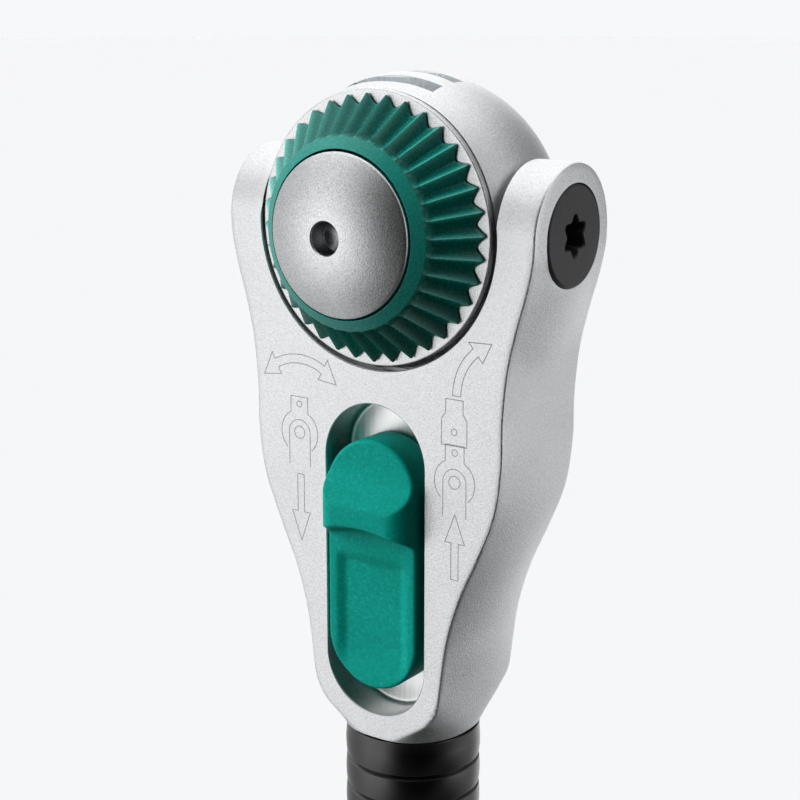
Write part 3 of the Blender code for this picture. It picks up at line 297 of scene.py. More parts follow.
# Its pale specks are partly the moulded texture and partly painted glints.
SLIDE_GREEN = Finish("slide_green", "green_plastic", (0.0003, 0.215, 0.170), (0.002, 0.285, 0.230),
                     (0.02, 0.40, 0.33), 0.0, (0.42, 0.56), 2.4, 0.12, 0.03, wear_and_highlight=0.4, specks=0.03,
                     specular=0.06)
BLACK_PLASTIC = Finish("black_plastic", "black_plastic", (0.0015, 0.0015, 0.002), (0.0035, 0.0035, 0.0045),
                       (0.03, 0.03, 0.035), 0.0, (0.24, 0.28), 2.2, 0.12, 0.006,
                       specular=0.9, spread=0.2)
BLACK_RUBBER = Finish("black_rubber", "black_rubber", (0.014, 0.014, 0.015), (0.028, 0.028, 0.03),
                      (0.05, 0.05, 0.052), 0.0, (0.58, 0.74), 1.6, 0.1, 0.05, wear_and_highlight=0.4)
MILLED_STEEL = Finish("milled_steel", "satin_chrome", (0.50, 0.53, 0.55), (0.72, 0.755, 0.78),
                      (0.80, 0.83, 0.85), 0.4, (0.18, 0.30), 2.2, 0.25, 0.01, grain=Grain.ALONG_Z)
# Lighter than the yoke's chrome: the pockets' machined finish, and painted light that lifts their shaded
# floors.
POCKET_STEEL = Finish("pocket_steel", "satin_chrome", (0.80, 0.80, 0.795), (0.95, 0.95, 0.945),
                      (0.95, 0.95, 0.94), 1.0, (0.28, 0.40), 2.2, 0.25, 0.01, grain=Grain.ALONG_Z)
DRILLED_STEEL = Finish("drilled_steel", "satin_chrome", (0.34, 0.345, 0.36), (0.52, 0.525, 0.54),
                       (0.60, 0.60, 0.61), 1.0, (0.24, 0.34), 4.0, 0.2, 0.02)
ETCHED = Finish("etched_line", "dark_steel", (0.27, 0.262, 0.26), (0.38, 0.367, 0.36),
                (0.38, 0.367, 0.36), 0.3, (0.6, 0.75), 6.0, 0.3, 0.004)


@dataclass(frozen=True)
class Sheet:
    """A grid of points, rows by columns by three; its last column joins the first when it is wrapped."""

    points: Array
    wrap: bool = True

    def faces(self, start: int) -> Array:
        """Lists the grid's quads as point numbers.

        Args:
            start: The number of the grid's first point.

        Returns:
            One row of four point numbers for each quad.
        """
        rows, columns = self.points.shape[:2]
        number = start + np.arange(rows * columns).reshape(rows, columns)
        if self.wrap:
            number = np.concatenate([number, number[:, :1]], axis=1)
        corners = (number[:-1, :-1], number[:-1, 1:], number[1:, 1:], number[1:, :-1])
        return np.stack([corner.ravel() for corner in corners], axis=1)

    def mirrored(self) -> "Sheet":
        """Returns this grid with Y reversed."""
        return Sheet(self.points * np.array([1.0, -1.0, 1.0]), self.wrap)


@dataclass
class Piece:
    """One finished object with the body that carries it, the nodes it stands for and its finish.

    A stretch names a second body and two points; nothing reads them, and the piece is left unattached.
    """

    item: bpy.types.Object
    body: str
    finish: Finish
    nodes: tuple[str, ...] = ()
    second: Finish | None = None
    stretch: tuple[str, Array, Array] | None = None

    def dress(self) -> None:
        """Gives the piece its materials, fixes it to its body unless it has a stretch, and hides its nodes.
        """
        self.item.data.materials.append(self.finish.material())
        if self.second:
            self.item.data.materials.append(self.second.material())
        if self.stretch:
            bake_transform(self.item)
        else:
            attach(self.item, self.body)
        if self.nodes:
            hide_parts(*self.nodes)
        LOG.info("%s on %s: %d faces, %s", self.item.name, self.body,
                 len(self.item.data.polygons), self.finish.name)


def eased(points: Array, radius: float | Array, steps: int = 5, most: float = 0.48) -> Array:
    """Rounds the inner corners of a polyline.

    Each corner becomes the curve (1-t)^2 a + 2t(1-t) corner + t^2 b, where a and b lie on its two
    edges, a radius away or at most a set share of the edge.

    Args:
        points: The polyline, one point in each row.
        radius: The length taken from each edge, one for all corners or one for each.
        steps: The number of points on each corner.
        most: The largest share of an edge that a corner takes.

    Returns:
        The rounded polyline, with the same end points.
    """
    points = np.asarray(points, float)
    before, corner, after = points[:-2], points[1:-1], points[2:]
    cut = np.broadcast_to(np.asarray(radius, float), len(corner))
    a, b = (corner + np.minimum(cut / np.linalg.norm(way, axis=1), most)[:, None] * way
            for way in (before - corner, after - corner))
    t = np.linspace(0.0, 1.0, steps)[None, :, None]
    arcs = (1 - t) ** 2 * a[:, None] + 2 * t * (1 - t) * corner[:, None] + t ** 2 * b[:, None]
    return np.concatenate([points[:1], arcs.reshape(-1, points.shape[1]), points[-1:]])


def read(items: bpy.types.bpy_prop_collection, name: str, width: int, kind: type = float) -> Array:
    """Reads a property of all of a mesh's points, edges or faces.

    Args:
        items: The points, edges or faces.
        name: The property.
        width: How many numbers each item has.
        kind: The type of a number.

    Returns:
        One row for each item.
    """
    values = np.empty(len(items) * width, kind)
    items.foreach_get(name, values)
    return values.reshape(-1, width)


def middles(mesh: bpy.types.Mesh) -> Array:
    """Reads the middle of each face of a mesh, in millimetres from the swivel's centre."""
    return read(mesh.polygons, "center", 3) / MM - SWIVEL


def s_curve(share: Array) -> Array:
    """Rises from 0 to 1 in an S: three times the square less two times the cube of the clipped share."""
    part = np.clip(share, 0.0, 1.0)
    return part * part * (3.0 - 2.0 * part)


def flowing(knots: Knots, at: Array) -> Array:
    """Reads a smooth curve through knots: a cubic between each two, with slopes from their neighbours.

    Args:
        knots: Rows of (place, value), in rising order of place.
        at: The places to read.

    Returns:
        The value at each place.
    """
    place, value = np.asarray(knots, float).T
    slope = np.gradient(value, place)
    index = np.clip(np.searchsorted(place, at) - 1, 0, len(place) - 2)
    gap = place[index + 1] - place[index]
    t = np.clip((at - place[index]) / gap, 0.0, 1.0)
    start = (2 * t ** 3 - 3 * t ** 2 + 1) * value[index] + (t ** 3 - 2 * t ** 2 + t) * gap * slope[index]
    end = (3 * t ** 2 - 2 * t ** 3) * value[index + 1] + (t ** 3 - t ** 2) * gap * slope[index + 1]
    return start + end


def around(angle: Array) -> Array:
    """Returns the directions at these angles, in radians, as rows of (cosine, sine)."""
    return np.stack([np.cos(angle), np.sin(angle)], axis=1)


def turned(along: Array, reach: Array, angle: Array) -> Array:
    """Places a grid round the Y axis: reach times the direction at the angle, and along on the axis.

    Args:
        along: The places on the axis.
        reach: The distances from the axis.
        angle: The angles in radians, from X towards Z. The three are spread to one grid.

    Returns:
        Rows by columns by three.
    """
    along, reach, angle = np.broadcast_arrays(along, reach, angle)
    return np.stack([reach * np.cos(angle), along, reach * np.sin(angle)], axis=2)


def lathe(profile: Array, axis: Axis = Axis.Y, steps: int = 128, swell: Array | None = None) -> Sheet:
    """Turns a profile about an axis: along times the axis, plus radius times the direction at each angle.

    Args:
        profile: Rows of (along, radius).
        axis: The axis to turn about, through the grid's zero.
        steps: The number of points round the axis.
        swell: Factors on the radius, rows by steps, for flutes and lobes.

    Returns:
        The turned grid.
    """
    along, radius = np.asarray(profile, float).T
    angle = np.arange(steps) * TAU / steps
    line, across, up = (np.array(v, float) for v in axis.value)
    ring = np.cos(angle)[:, None] * across + np.sin(angle)[:, None] * up
    reach = radius[:, None] * (np.ones(steps) if swell is None else swell)
    return Sheet(along[:, None, None] * line + reach[:, :, None] * ring)


def capped(points: Array) -> Sheet:
    """Closes a stack of loops at both ends with a row at the mean point of the end loop.

    Args:
        points: Loops by points by three.

    Returns:
        The closed grid.
    """
    first, last = (np.broadcast_to(end.mean(axis=1, keepdims=True), end.shape)
                   for end in (points[:1], points[-1:]))
    return Sheet(np.concatenate([first, points, last]))


def stadium(radius: Array, top: float, bottom: float, reach: float, bend: int = 40,
            side: int = 60) -> Array:
    """Draws parallel stadium loops about one upright middle line.

    The middle line runs from top - reach to bottom + reach. A loop's point is a point of that line
    plus its radius times a direction, which turns at the two ends and stays level on the sides.

    Args:
        radius: The radius of each loop, where reach is the full one.
        top: The height of the full loop's top.
        bottom: The height of the full loop's bottom.
        reach: The full radius.
        bend: The number of steps on each end.
        side: The number of steps on each side.

    Returns:
        Loops by points by (x, z).
    """
    half = np.linspace(0.0, math.pi, bend + 1)
    run = np.linspace(0.0, 1.0, side + 1)[1:-1]
    high, low = top - reach, bottom + reach
    angle = np.concatenate([half, np.full(side - 1, math.pi), half + math.pi, np.zeros(side - 1)])
    middle = np.concatenate([np.full(bend + 1, high), high + run * (low - high),
                             np.full(bend + 1, low), low + run * (high - low)])
    radius = np.asarray(radius, float)[:, None]
    return np.stack([radius * np.cos(angle), middle + radius * np.sin(angle)], axis=2)


def upright(loops: Array, depth: Array) -> Array:
    """Places (x, z) loops at their depths along Y.

    Args:
        loops: Loops by points by (x, z).
        depth: The Y of each loop, or of each point of each loop.

    Returns:
        Loops by points by (x, y, z).
    """
    depth = np.asarray(depth, float)
    depth = depth[:, None] if depth.ndim == 1 else depth
    return np.stack([loops[..., 0], np.broadcast_to(depth, loops.shape[:2]), loops[..., 1]], axis=2)


def box_loops(low: Array, high: Array, flare: Array) -> Array:
    """Stacks rectangles along Z: each has the box's sides, spread by its own flare.

    Args:
        low: The box's lowest corner.
        high: The box's highest corner.
        flare: Rows of (share of the height, spread).

    Returns:
        Loops by four corners by three.
    """
    share, spread = np.asarray(flare, float).T
    sign = np.array([(-1, -1), (1, -1), (1, 1), (-1, 1)], float)
    half = (np.asarray(high, float) - low)[:2] / 2
    middle = (np.asarray(high, float) + low)[:2] / 2
    flat = middle + sign * (half + spread[:, None, None])
    height = low[2] + share * (high[2] - low[2])
    return np.concatenate([flat, np.broadcast_to(height[:, None, None], (len(share), 4, 1))], axis=2)


def tilted(points: Array, degrees: float) -> Array:
    """Turns points about the X axis through the swivel centre.

    Args:
        points: The points, with (x, y, z) last.
        degrees: The angle, from Y towards Z.

    Returns:
        The turned points.
    """
    cosine, sine = math.cos(math.radians(degrees)), math.sin(math.radians(degrees))
    return points @ np.array([(1, 0, 0), (0, cosine, -sine), (0, sine, cosine)]).T


def shaped(name: str, *sheets: Sheet, origin: Array = SWIVEL) -> bpy.types.Object:
    """Makes one object of several grids, with merged seams and outward faces.

    Args:
        name: The object's name.
        sheets: The grids, in millimetres from the origin.
        origin: The place of the grids' zero, in millimetres.

    Returns:
        The object, with its place in its mesh, in metres.
    """
    starts = np.cumsum([0] + [sheet.points[..., 0].size for sheet in sheets])
    points = np.concatenate([sheet.points.reshape(-1, 3) for sheet in sheets])
    quads = np.concatenate([sheet.faces(start) for sheet, start in zip(sheets, starts)])
    mesh = bpy.data.meshes.new(name)
    mesh.from_pydata(((points + origin) * MM).tolist(), [], quads.tolist())
    work = bmesh.new()
    work.from_mesh(mesh)
    bmesh.ops.remove_doubles(work, verts=work.verts, dist=MERGE_GAP * MM)
    bmesh.ops.dissolve_degenerate(work, edges=work.edges, dist=SLIVER * MM)
    bmesh.ops.recalc_face_normals(work, faces=work.faces)
    work.to_mesh(mesh)
    work.free()
    item = bpy.data.objects.new(name, mesh)
    bpy.context.scene.collection.objects.link(item)
    return item


def carved(item: bpy.types.Object, *cutters: Sheet) -> bpy.types.Object:
    """Cuts closed grids out of an object and bakes the result.

    Args:
        item: The object to cut.
        cutters: The closed grids, in millimetres from the swivel's centre.

    Returns:
        The same object with its new mesh.
    """
    tools = [shaped(f"{item.name}_cutter_{n}", cutter) for n, cutter in enumerate(cutters)]
    for tool in tools:
        step = item.modifiers.new(tool.name, "BOOLEAN")
        step.operation = "DIFFERENCE"
        step.solver = "EXACT"
        step.object = tool
    graph = bpy.context.evaluated_depsgraph_get()
    baked = bpy.data.meshes.new_from_object(item.evaluated_get(graph))
    item.modifiers.clear()
    old, item.data = item.data, baked
    bpy.data.meshes.remove(old)
    baked.name = item.name
    for tool in tools:
        mesh = tool.data
        bpy.data.objects.remove(tool)
        bpy.data.meshes.remove(mesh)
    return item


def edged(item: bpy.types.Object, sharp: float = 32.0, even: bool = False) -> bpy.types.Object:
    """Shades an object smooth between its sharp edges and marks its convex edges.

    The attribute "edge" is the mean, over a point's edges, of how far each falls away from the
    point's tangent plane: minus the edge's direction times the normal.

    Args:
        item: The object to shade.
        sharp: The angle in degrees from which an edge is sharp.
        even: Whether wide faces outweigh narrow ones in the normals.

    Returns:
        The same object.
    """
    mesh = item.data
    mesh.shade_smooth()
    mesh.set_sharp_from_angle(angle=math.radians(sharp))
    count = len(mesh.vertices)
    place = read(mesh.vertices, "co", 3)
    normal = read(mesh.vertex_normals, "vector", 3)
    pair = read(mesh.edges, "vertices", 2, int)
    start, end = pair.T
    way = place[end] - place[start]
    way /= np.maximum(np.linalg.norm(way, axis=1, keepdims=True), NO_LENGTH)
    fall = np.bincount(start, -(way * normal[start]).sum(axis=1), count)
    fall += np.bincount(end, (way * normal[end]).sum(axis=1), count)
    fall /= np.maximum(np.bincount(pair.ravel(), minlength=count), 1)
    edge = mesh.attributes.new("edge", "FLOAT", "POINT")
    edge.data.foreach_set("value", np.clip((fall - EDGE_START) * EDGE_GAIN, 0.0, 1.0))
    if even:
        weight = item.modifiers.new("even_normals", "WEIGHTED_NORMAL")
        weight.keep_sharp = True
        weight.weight = WIDE_FACE_WEIGHT
    return item


@dataclass
class Yoke:
    """The forked body: two arms round the ball, front and back pockets, a round foot and the shank.

    The outline's rows are (distance below the swivel, half width), and the foot line's (distance
    below the swivel, radius). The boss is (half width, radius) and falls by (slope, power). The screw
    bore is (radius, floor), and the channel (half width, half depth, bottom, top). Far is a cone's
    radius where there is no cone, and clear is how far the ball's seat goes on past the faces.
    """

    outline: Knots = (
        (0.0, 23.6), (2.0, 23.5), (4.0, 23.15), (6.1, 22.65), (10.3, 21.4), (14.3, 20.4), (22.0, 19.5),
        (28.5, 19.4), (35.0, 18.4), (40.8, 16.1), (46.8, 13.4), (52.6, 11.6), (58.4, 10.7), (64.0, 10.3),
        (80.0, 10.3))
    half_width: float = 24.0
    half_depth: float = 9.1
    edge_power: float = 80.0
    crown: float = 0.35
    waist_crown: float = 0.85
    waist: Span = (-32.0, -48.0)
    boss: Span = (23.45, 6.7)
    boss_fall: Span = (0.28, 1.05)
    boss_blend: float = 0.02
    side_power: int = 24
    side_fade: Span = (-67.5, 12.0)
    foot: float = -69.4
    foot_top: float = -58.0
    foot_rise: float = 3.0
    foot_edge: Span = (0.1, 0.15)
    foot_line: Knots = (
        (58.0, 23.0), (60.0, 19.4), (61.3, 17.4), (62.4, 16.0), (63.2, 15.05), (64.1, 14.0), (65.0, 13.1),
        (66.0, 12.2), (67.1, 11.15), (68.3, 10.2), (69.4, 9.55))
    foot_blend: float = 10.0
    shank_radius: float = 5.6
    shank_end: float = -157.7
    shank_bevel: float = 1.1
    row_gap: float = 0.4
    rows: tuple[int, int, int] = (40, 110, 48)
    columns: tuple[int, int, int] = (11, 17, 20)
    cavity_radius: float = 20.3
    cavity_steps: tuple[int, int] = (61, 192)
    cavity_flare: float = 0.15
    clear: float = 4.0
    far: float = 1e3
    screw_bore: Span = (6.58, 21.55)
    pin_bore: float = 3.9
    bore_span: Span = (17.0, 27.0)
    bore_steps: int = 96
    pocket_radius: float = 7.87
    pocket_edge: float = 0.13
    pocket_span: Span = (-22.8, -66.05)
    pocket_floor: float = 3.7
    pocket_corner: float = 0.7
    pocket_mouth: float = 13.0
    channel: tuple[float, float, float, float] = (6.5, 2.1, -61.7, -10.0)
    slot_half_width: float = 2.3
    slot_reach: float = 5.0
    slot_steps: tuple[int, int] = (12, 8)
    margin: float = 0.1
    slots: Knots = ((-32.4, -43.5), (-45.4, -56.5))

    def build(self) -> list[Piece]:
        """Makes the yoke with its cut-outs.

        Returns:
            The yoke alone.
        """
        item = shaped("yoke_body", self._skin())
        cutters = [self._cavity(), self._bore(1.0), self._bore(-1.0), self._channel()]
        cutters += [self._pocket(side) for side in Side]
        cutters += [self._slot(*span) for span in self.slots]
        edged(carved(item, *cutters), even=True)
        self._mark_pockets(item.data)
        return [Piece(item, "handle", SATIN_CHROME, ("yoke",), POCKET_STEEL)]

    def _mark_pockets(self, mesh: bpy.types.Mesh) -> None:
        """Gives the pockets' floors and walls the second finish, by where their faces lie.

        Args:
            mesh: The yoke's mesh, in metres.
        """
        aside, depth, height = np.abs(middles(mesh)).T
        top, bottom = np.abs(self.pocket_span)
        inside = (aside < self.pocket_radius + self.margin) & (height > top - self.margin)
        inside &= (height < bottom + self.margin) & (depth > self.pocket_floor - 2 * self.margin)
        inside &= depth < self.half_depth - self.pocket_edge / 2
        # The pocket finish is lighter: partly machined steel, partly painted light on the shaded floors.
        mesh.polygons.foreach_set("material_index", inside.astype(np.int32))

    def _skin(self) -> Sheet:
        """Lofts the outside: half sections go up the front, over the arm tops and down the back.

        A half section is polar. The distances to the side face and to the foot cone join in a wide
        soft minimum, s = a (1 + (a/c)^q)^(-1/q), and that joins the front face in a narrow one,
        (s^-p + b^-p)^(-1/p). Over the arm tops the half section turns about the X axis.

        Returns:
            The closed outside.
        """
        end, radius, bevel = self.shank_end, self.shank_radius, self.shank_bevel
        edge_rise, edge_inset = self.foot_edge
        foot = np.array([(end, 0.0), (end, radius - bevel), (end + bevel, radius),
                         (self.foot - self.row_gap, radius), (self.foot, radius),
                         (self.foot, self.foot_line[-1][1] - edge_inset)])
        low, high, arch = self.rows
        rise = np.concatenate([np.linspace(self.foot + edge_rise, self.foot_top, low),
                               np.linspace(self.foot_top + self.row_gap, 0.0, high)])
        widen = self.foot_rise * np.maximum(rise - self.foot_top, 0.0)
        height = np.concatenate([foot[:, 0], rise])
        cone = np.concatenate([foot[:, 1], flowing(self.foot_line, -rise) + widen])
        width = flowing(self.outline, -height)
        turn = np.linspace(0.0, math.pi, arch)[1:-1]
        lean = np.concatenate([np.zeros(len(height)), turn, np.full(len(height), math.pi)])
        over = np.zeros_like(turn)
        height = np.concatenate([height, over, height[::-1]])
        cone = np.concatenate([cone, over + self.far, cone[::-1]])
        width = np.concatenate([width, over + width[-1], width[::-1]])
        angle = self._angles(width, cone)
        cosine, sine = np.cos(angle), np.sin(angle)
        side = width[:, None] / np.maximum(np.abs(cosine), TINY)
        share = side / np.maximum(cone, TINY)[:, None]
        reaches = np.stack([side * (1 + share ** self.foot_blend) ** (-1.0 / self.foot_blend),
                            self.half_depth / np.maximum(np.abs(sine), TINY)])
        least = reaches.min(axis=0)
        soft = ((least / reaches) ** self.edge_power).sum(axis=0)
        reach = least * soft ** (-1.0 / self.edge_power)
        front = -np.cos(lean)[:, None] * reach * sine
        raised = height[:, None] + np.sin(lean)[:, None] * reach * sine
        aside = reach * cosine + self._swell(reach * cosine, front, raised, width[:, None])
        return Sheet(np.stack([aside, front, raised], axis=2), wrap=False)

    def _swell(self, x: Array, y: Array, z: Array, width: Array) -> Array:
        """Works out how far the sides stand out from the flat outline.

        The sides are crowned by a parabola across the depth, more so from the waist down, and swell
        to a boss round each screw that falls away outside a radius as a power of the distance. The
        larger of the two counts, in a soft maximum. A high power of the share of the width keeps
        this to the sides, and it fades out at the foot.

        Args:
            x: The points' places across, from the swivel axis's middle.
            y: Their places along the depth.
            z: Their heights.
            width: The half width of each section.

        Returns:
            How far each point moves outwards along X, with its sign.
        """
        level, start = self.boss
        slope, power = self.boss_fall
        waist, narrow = self.waist
        foot, fade = self.side_fade
        crown = self.crown + self.waist_crown * s_curve((waist - z) / (waist - narrow))
        crowned = width + crown * np.clip(1 - (y / self.half_depth) ** 2, 0, 1)
        boss = level - slope * np.maximum(np.hypot(y, z) - start, 0.0) ** power
        top = 0.5 * (crowned + boss + np.sqrt((crowned - boss) ** 2 + self.boss_blend)) - width
        side = np.clip(np.abs(x) / width, 0, 1) ** self.side_power * s_curve((z - foot) / fade)
        return np.sign(x) * side * np.minimum(top, self.half_width - width)

    def _angles(self, width: Array, cone: Array) -> Array:
        """Spreads each half section's angles, close together where two of its faces meet.

        Args:
            width: The half width of each section.
            cone: The foot cone's radius at each section.

        Returns:
            Sections by angles, from 0 to pi.
        """
        corner = np.arctan2(self.half_depth, width)
        wide = cone >= np.hypot(width, self.half_depth)
        full = np.maximum(cone, TINY)
        first = np.where(wide, corner, np.arccos(np.clip(width / full, -1, 1)))
        second = np.where(wide, corner, np.arcsin(np.clip(self.half_depth / full, -1, 1)))
        on_side, on_cone, on_front = self.columns
        late = np.sin(np.linspace(0, math.pi / 2, on_side))
        both = (1 - np.cos(np.linspace(0, math.pi, on_cone))) / 2
        early = 1 - np.cos(np.linspace(0, math.pi / 2, on_front))
        quarter = np.concatenate([first[:, None] * late, (first + (second - first) * both[1:, None]).T,
                                  (second + (math.pi / 2 - second) * early[1:, None]).T], axis=1)
        return np.concatenate([quarter, math.pi - quarter[:, -2::-1]], axis=1)

    def _cavity(self) -> Sheet:
        """Turns the ball's seat: a sphere that opens a little at the front and back faces.

        Returns:
            The closed cutter.
        """
        brink = self.half_depth - self.cavity_flare
        rows, steps = self.cavity_steps
        along = np.linspace(-brink, brink, rows)
        seat = np.stack([along, np.sqrt(self.cavity_radius ** 2 - along ** 2)], axis=1)
        out = seat[-1, 1] + 2 * self.cavity_flare
        far = self.half_depth + self.clear
        ends = np.array([(self.half_depth + self.cavity_flare, out), (far, out), (far, 0)])
        front = ends[::-1] * np.array([-1, 1])
        return lathe(np.concatenate([front, seat, ends]), steps=steps)

    def _bore(self, side: float) -> Sheet:
        """Turns a stepped pivot bore for one arm.

        Args:
            side: The sign of X at the arm.

        Returns:
            The closed cutter.
        """
        radius, floor = self.screw_bore
        inner, outer = self.bore_span
        profile = np.array([(inner, 0), (inner, self.pin_bore), (floor, self.pin_bore), (floor, radius),
                            (outer, radius), (outer, 0)])
        return lathe(profile * np.array([side, 1.0]), Axis.X, self.bore_steps)

    def _pocket(self, side: Side) -> Sheet:
        """Stacks stadium loops into a pocket with a broken edge and a hollow floor corner.

        Args:
            side: The face that the pocket is in.

        Returns:
            The closed cutter.
        """
        radius, rim = self.pocket_radius, self.pocket_radius + self.pocket_edge
        face, floor = self.half_depth, self.pocket_floor
        rows = np.array([(rim, self.pocket_mouth), (rim, face), (radius, face - self.pocket_edge),
                         (radius, floor), (radius - 2 * self.pocket_corner, floor)])
        rows = np.concatenate([rows[:2], eased(rows[2:], self.pocket_corner, 6)])
        loops = stadium(rows[:, 0], *self.pocket_span, radius)
        return capped(upright(loops, rows[:, 1] * side.value))

    def _channel(self) -> Sheet:
        """Stacks rectangles into the lock bolt's channel.

        Returns:
            The closed cutter.
        """
        half_x, half_y, low, high = self.channel
        flat = [(0, 0), (1, 0)]
        return capped(box_loops(np.array([-half_x, -half_y, low]), np.array([half_x, half_y, high]), flat))

    def _slot(self, top: float, bottom: float) -> Sheet:
        """Stacks stadium loops into a slot through both pocket floors, from bottom to top."""
        loops = stadium([self.slot_half_width] * 2, top, bottom, self.slot_half_width, *self.slot_steps)
        return capped(upright(loops, [-self.slot_reach, self.slot_reach]))


@dataclass
class BallHead:
    """The ball that carries the ratchet: notched sphere, front rim ring and drive bush.

    A notch is (half width, half depth, floor), and its bevel goes from a height under the sphere's
    radius to one over it, by a spread. The pawl's room and the bush are (inner radius, outer radius,
    front, back). A seam is the place on a flat face where a ring's profile starts and ends.
    """

    radius: float = 19.25
    front: float = -8.0
    back: float = 12.5
    bush_bore: float = 9.55
    gear_bore: float = 11.2
    bore_floor: float = 3.3
    bore_round: float = 0.35
    pivot_bore: float = 5.55
    pivot_floor: float = 16.0
    outside: float = 22.0
    notch: tuple[float, float, float] = (6.7, 1.15, 16.67)
    notch_bevel: tuple[float, float, float] = (0.35, 0.1, 0.25)
    tilts: tuple[float, ...] = (-15.0, 0.0, 15.0)
    pawl_room: tuple[float, float, float, float] = (10.0, 15.55, -9.0, 3.1)
    pawl_sweep: Span = (34.0, 146.0)
    rim_radius: float = 17.54
    rim_front: float = -9.28
    rim_back: float = -8.3
    rim_bore: float = 9.95
    rim_seam: float = 13.0
    rim_round: float = 0.22
    bush: tuple[float, float, float, float] = (7.75, 9.25, 3.7, 12.2)
    bush_seam: float = 8.0
    bush_round: float = 0.25
    bush_steps: int = 128
    steps: int = 256
    arc_rows: int = 96
    pawl_rows: int = 33
    pivot_steps: int = 64
    margins: tuple[float, float, float] = (0.05, 0.1, 0.3)

    def build(self) -> list[Piece]:
        """Makes the ball, its rim ring and its bush.

        Returns:
            The three pieces.
        """
        ball = shaped("ball_head", self._ball())
        notches = [self._notch(tilt + turn) for turn in (0.0, 180.0) for tilt in self.tilts]
        carved(ball, *notches, self._pawl_room(), self._pivot(1.0), self._pivot(-1.0))
        self._mark_notches(ball.data)
        start = (self.rim_back, self.rim_seam)
        rim = np.array([start, (self.rim_back, self.rim_bore), (self.rim_front, self.rim_bore),
                        (self.rim_front, self.rim_radius), (self.rim_back, self.rim_radius), start])
        ring = shaped("rim_ring", lathe(eased(rim, self.rim_round), steps=self.steps))
        inner, outer, front, back = self.bush
        start = (self.bush_seam, inner)
        bush = np.array([start, (front, inner), (front, outer), (back, outer), (back, inner), start])
        sleeve = shaped("drive_bush_ring", lathe(eased(bush, self.bush_round), steps=self.bush_steps))
        return [Piece(edged(ball, even=True), "head", SATIN_CHROME, ("head_housing",), MILLED_STEEL),
                # The rim ring's darker chrome is painted shade on its face.
                Piece(edged(ring), "head", FINE_CHROME, ("cover_plate",)),
                Piece(edged(sleeve), "head", BRONZE, ("drive_bush",))]

    def _mark_notches(self, mesh: bpy.types.Mesh) -> None:
        """Gives the lock notches the second finish, by where their faces lie.

        Args:
            mesh: The ball's mesh, in metres.
        """
        centre = middles(mesh)
        half_x, half_y, floor = self.notch
        beside, under, skin = self.margins
        reach = np.hypot(centre[:, 1], centre[:, 2])
        inside = (np.abs(centre[:, 0]) < half_x + beside) & (reach > floor - under)
        inside &= np.linalg.norm(centre, axis=1) < self.radius - skin
        inside &= np.abs(centre[:, 1]) < -self.front - half_y / 2
        mesh.polygons.foreach_set("material_index", inside.astype(np.int32))

    def _ball(self) -> Sheet:
        """Turns the hollow sphere: outside arc, back face, bush bore and gear room.

        Returns:
            The closed sphere.
        """
        first, last = (math.asin(end / self.radius) for end in (self.front, self.back))
        turn = np.linspace(first, last, self.arc_rows)
        arc = self.radius * around(turn)[:, ::-1]
        bores = np.array([(self.back, self.bush_bore), (self.bore_floor, self.bush_bore),
                          (self.bore_floor, self.gear_bore), (self.front, self.gear_bore),
                          (self.front, arc[0, 1])])
        return lathe(np.concatenate([arc, eased(bores, self.bore_round, 4)]), steps=self.steps)

    def _notch(self, tilt: float) -> Sheet:
        """Stacks rectangles into a lock notch with broken outer edges, turned to its tilt.

        Args:
            tilt: The angle about the swivel axis, in degrees.

        Returns:
            The closed cutter.
        """
        half_x, half_y, floor = self.notch
        under, over, spread = self.notch_bevel
        level = np.array([floor, self.radius - under, self.radius + over, self.outside])
        flare = np.stack([(level - floor) / (self.outside - floor), [0.0, 0.0, spread, spread]], axis=1)
        low, high = np.array([-half_x, -half_y, floor]), np.array([half_x, half_y, self.outside])
        return Sheet(tilted(capped(box_loops(low, high, flare)).points, tilt))

    def _pawl_room(self) -> Sheet:
        """Carries a rectangle round the drive axis above the gear, for the pawl.

        Returns:
            The closed cutter.
        """
        angle = np.radians(np.linspace(*self.pawl_sweep, self.pawl_rows))
        low, high, front, back = self.pawl_room
        return capped(turned(np.array([front, front, back, back]), np.array([low, high, high, low]),
                             angle[:, None]))

    def _pivot(self, side: float) -> Sheet:
        """Turns a pivot bore on one side of the ball.

        Args:
            side: The sign of X there.

        Returns:
            The closed cutter.
        """
        floor, radius = self.pivot_floor, self.pivot_bore
        profile = np.array([(floor, 0), (floor, radius), (self.outside, radius), (self.outside, 0)])
        return lathe(profile * np.array([side, 1.0]), Axis.X, self.pivot_steps)


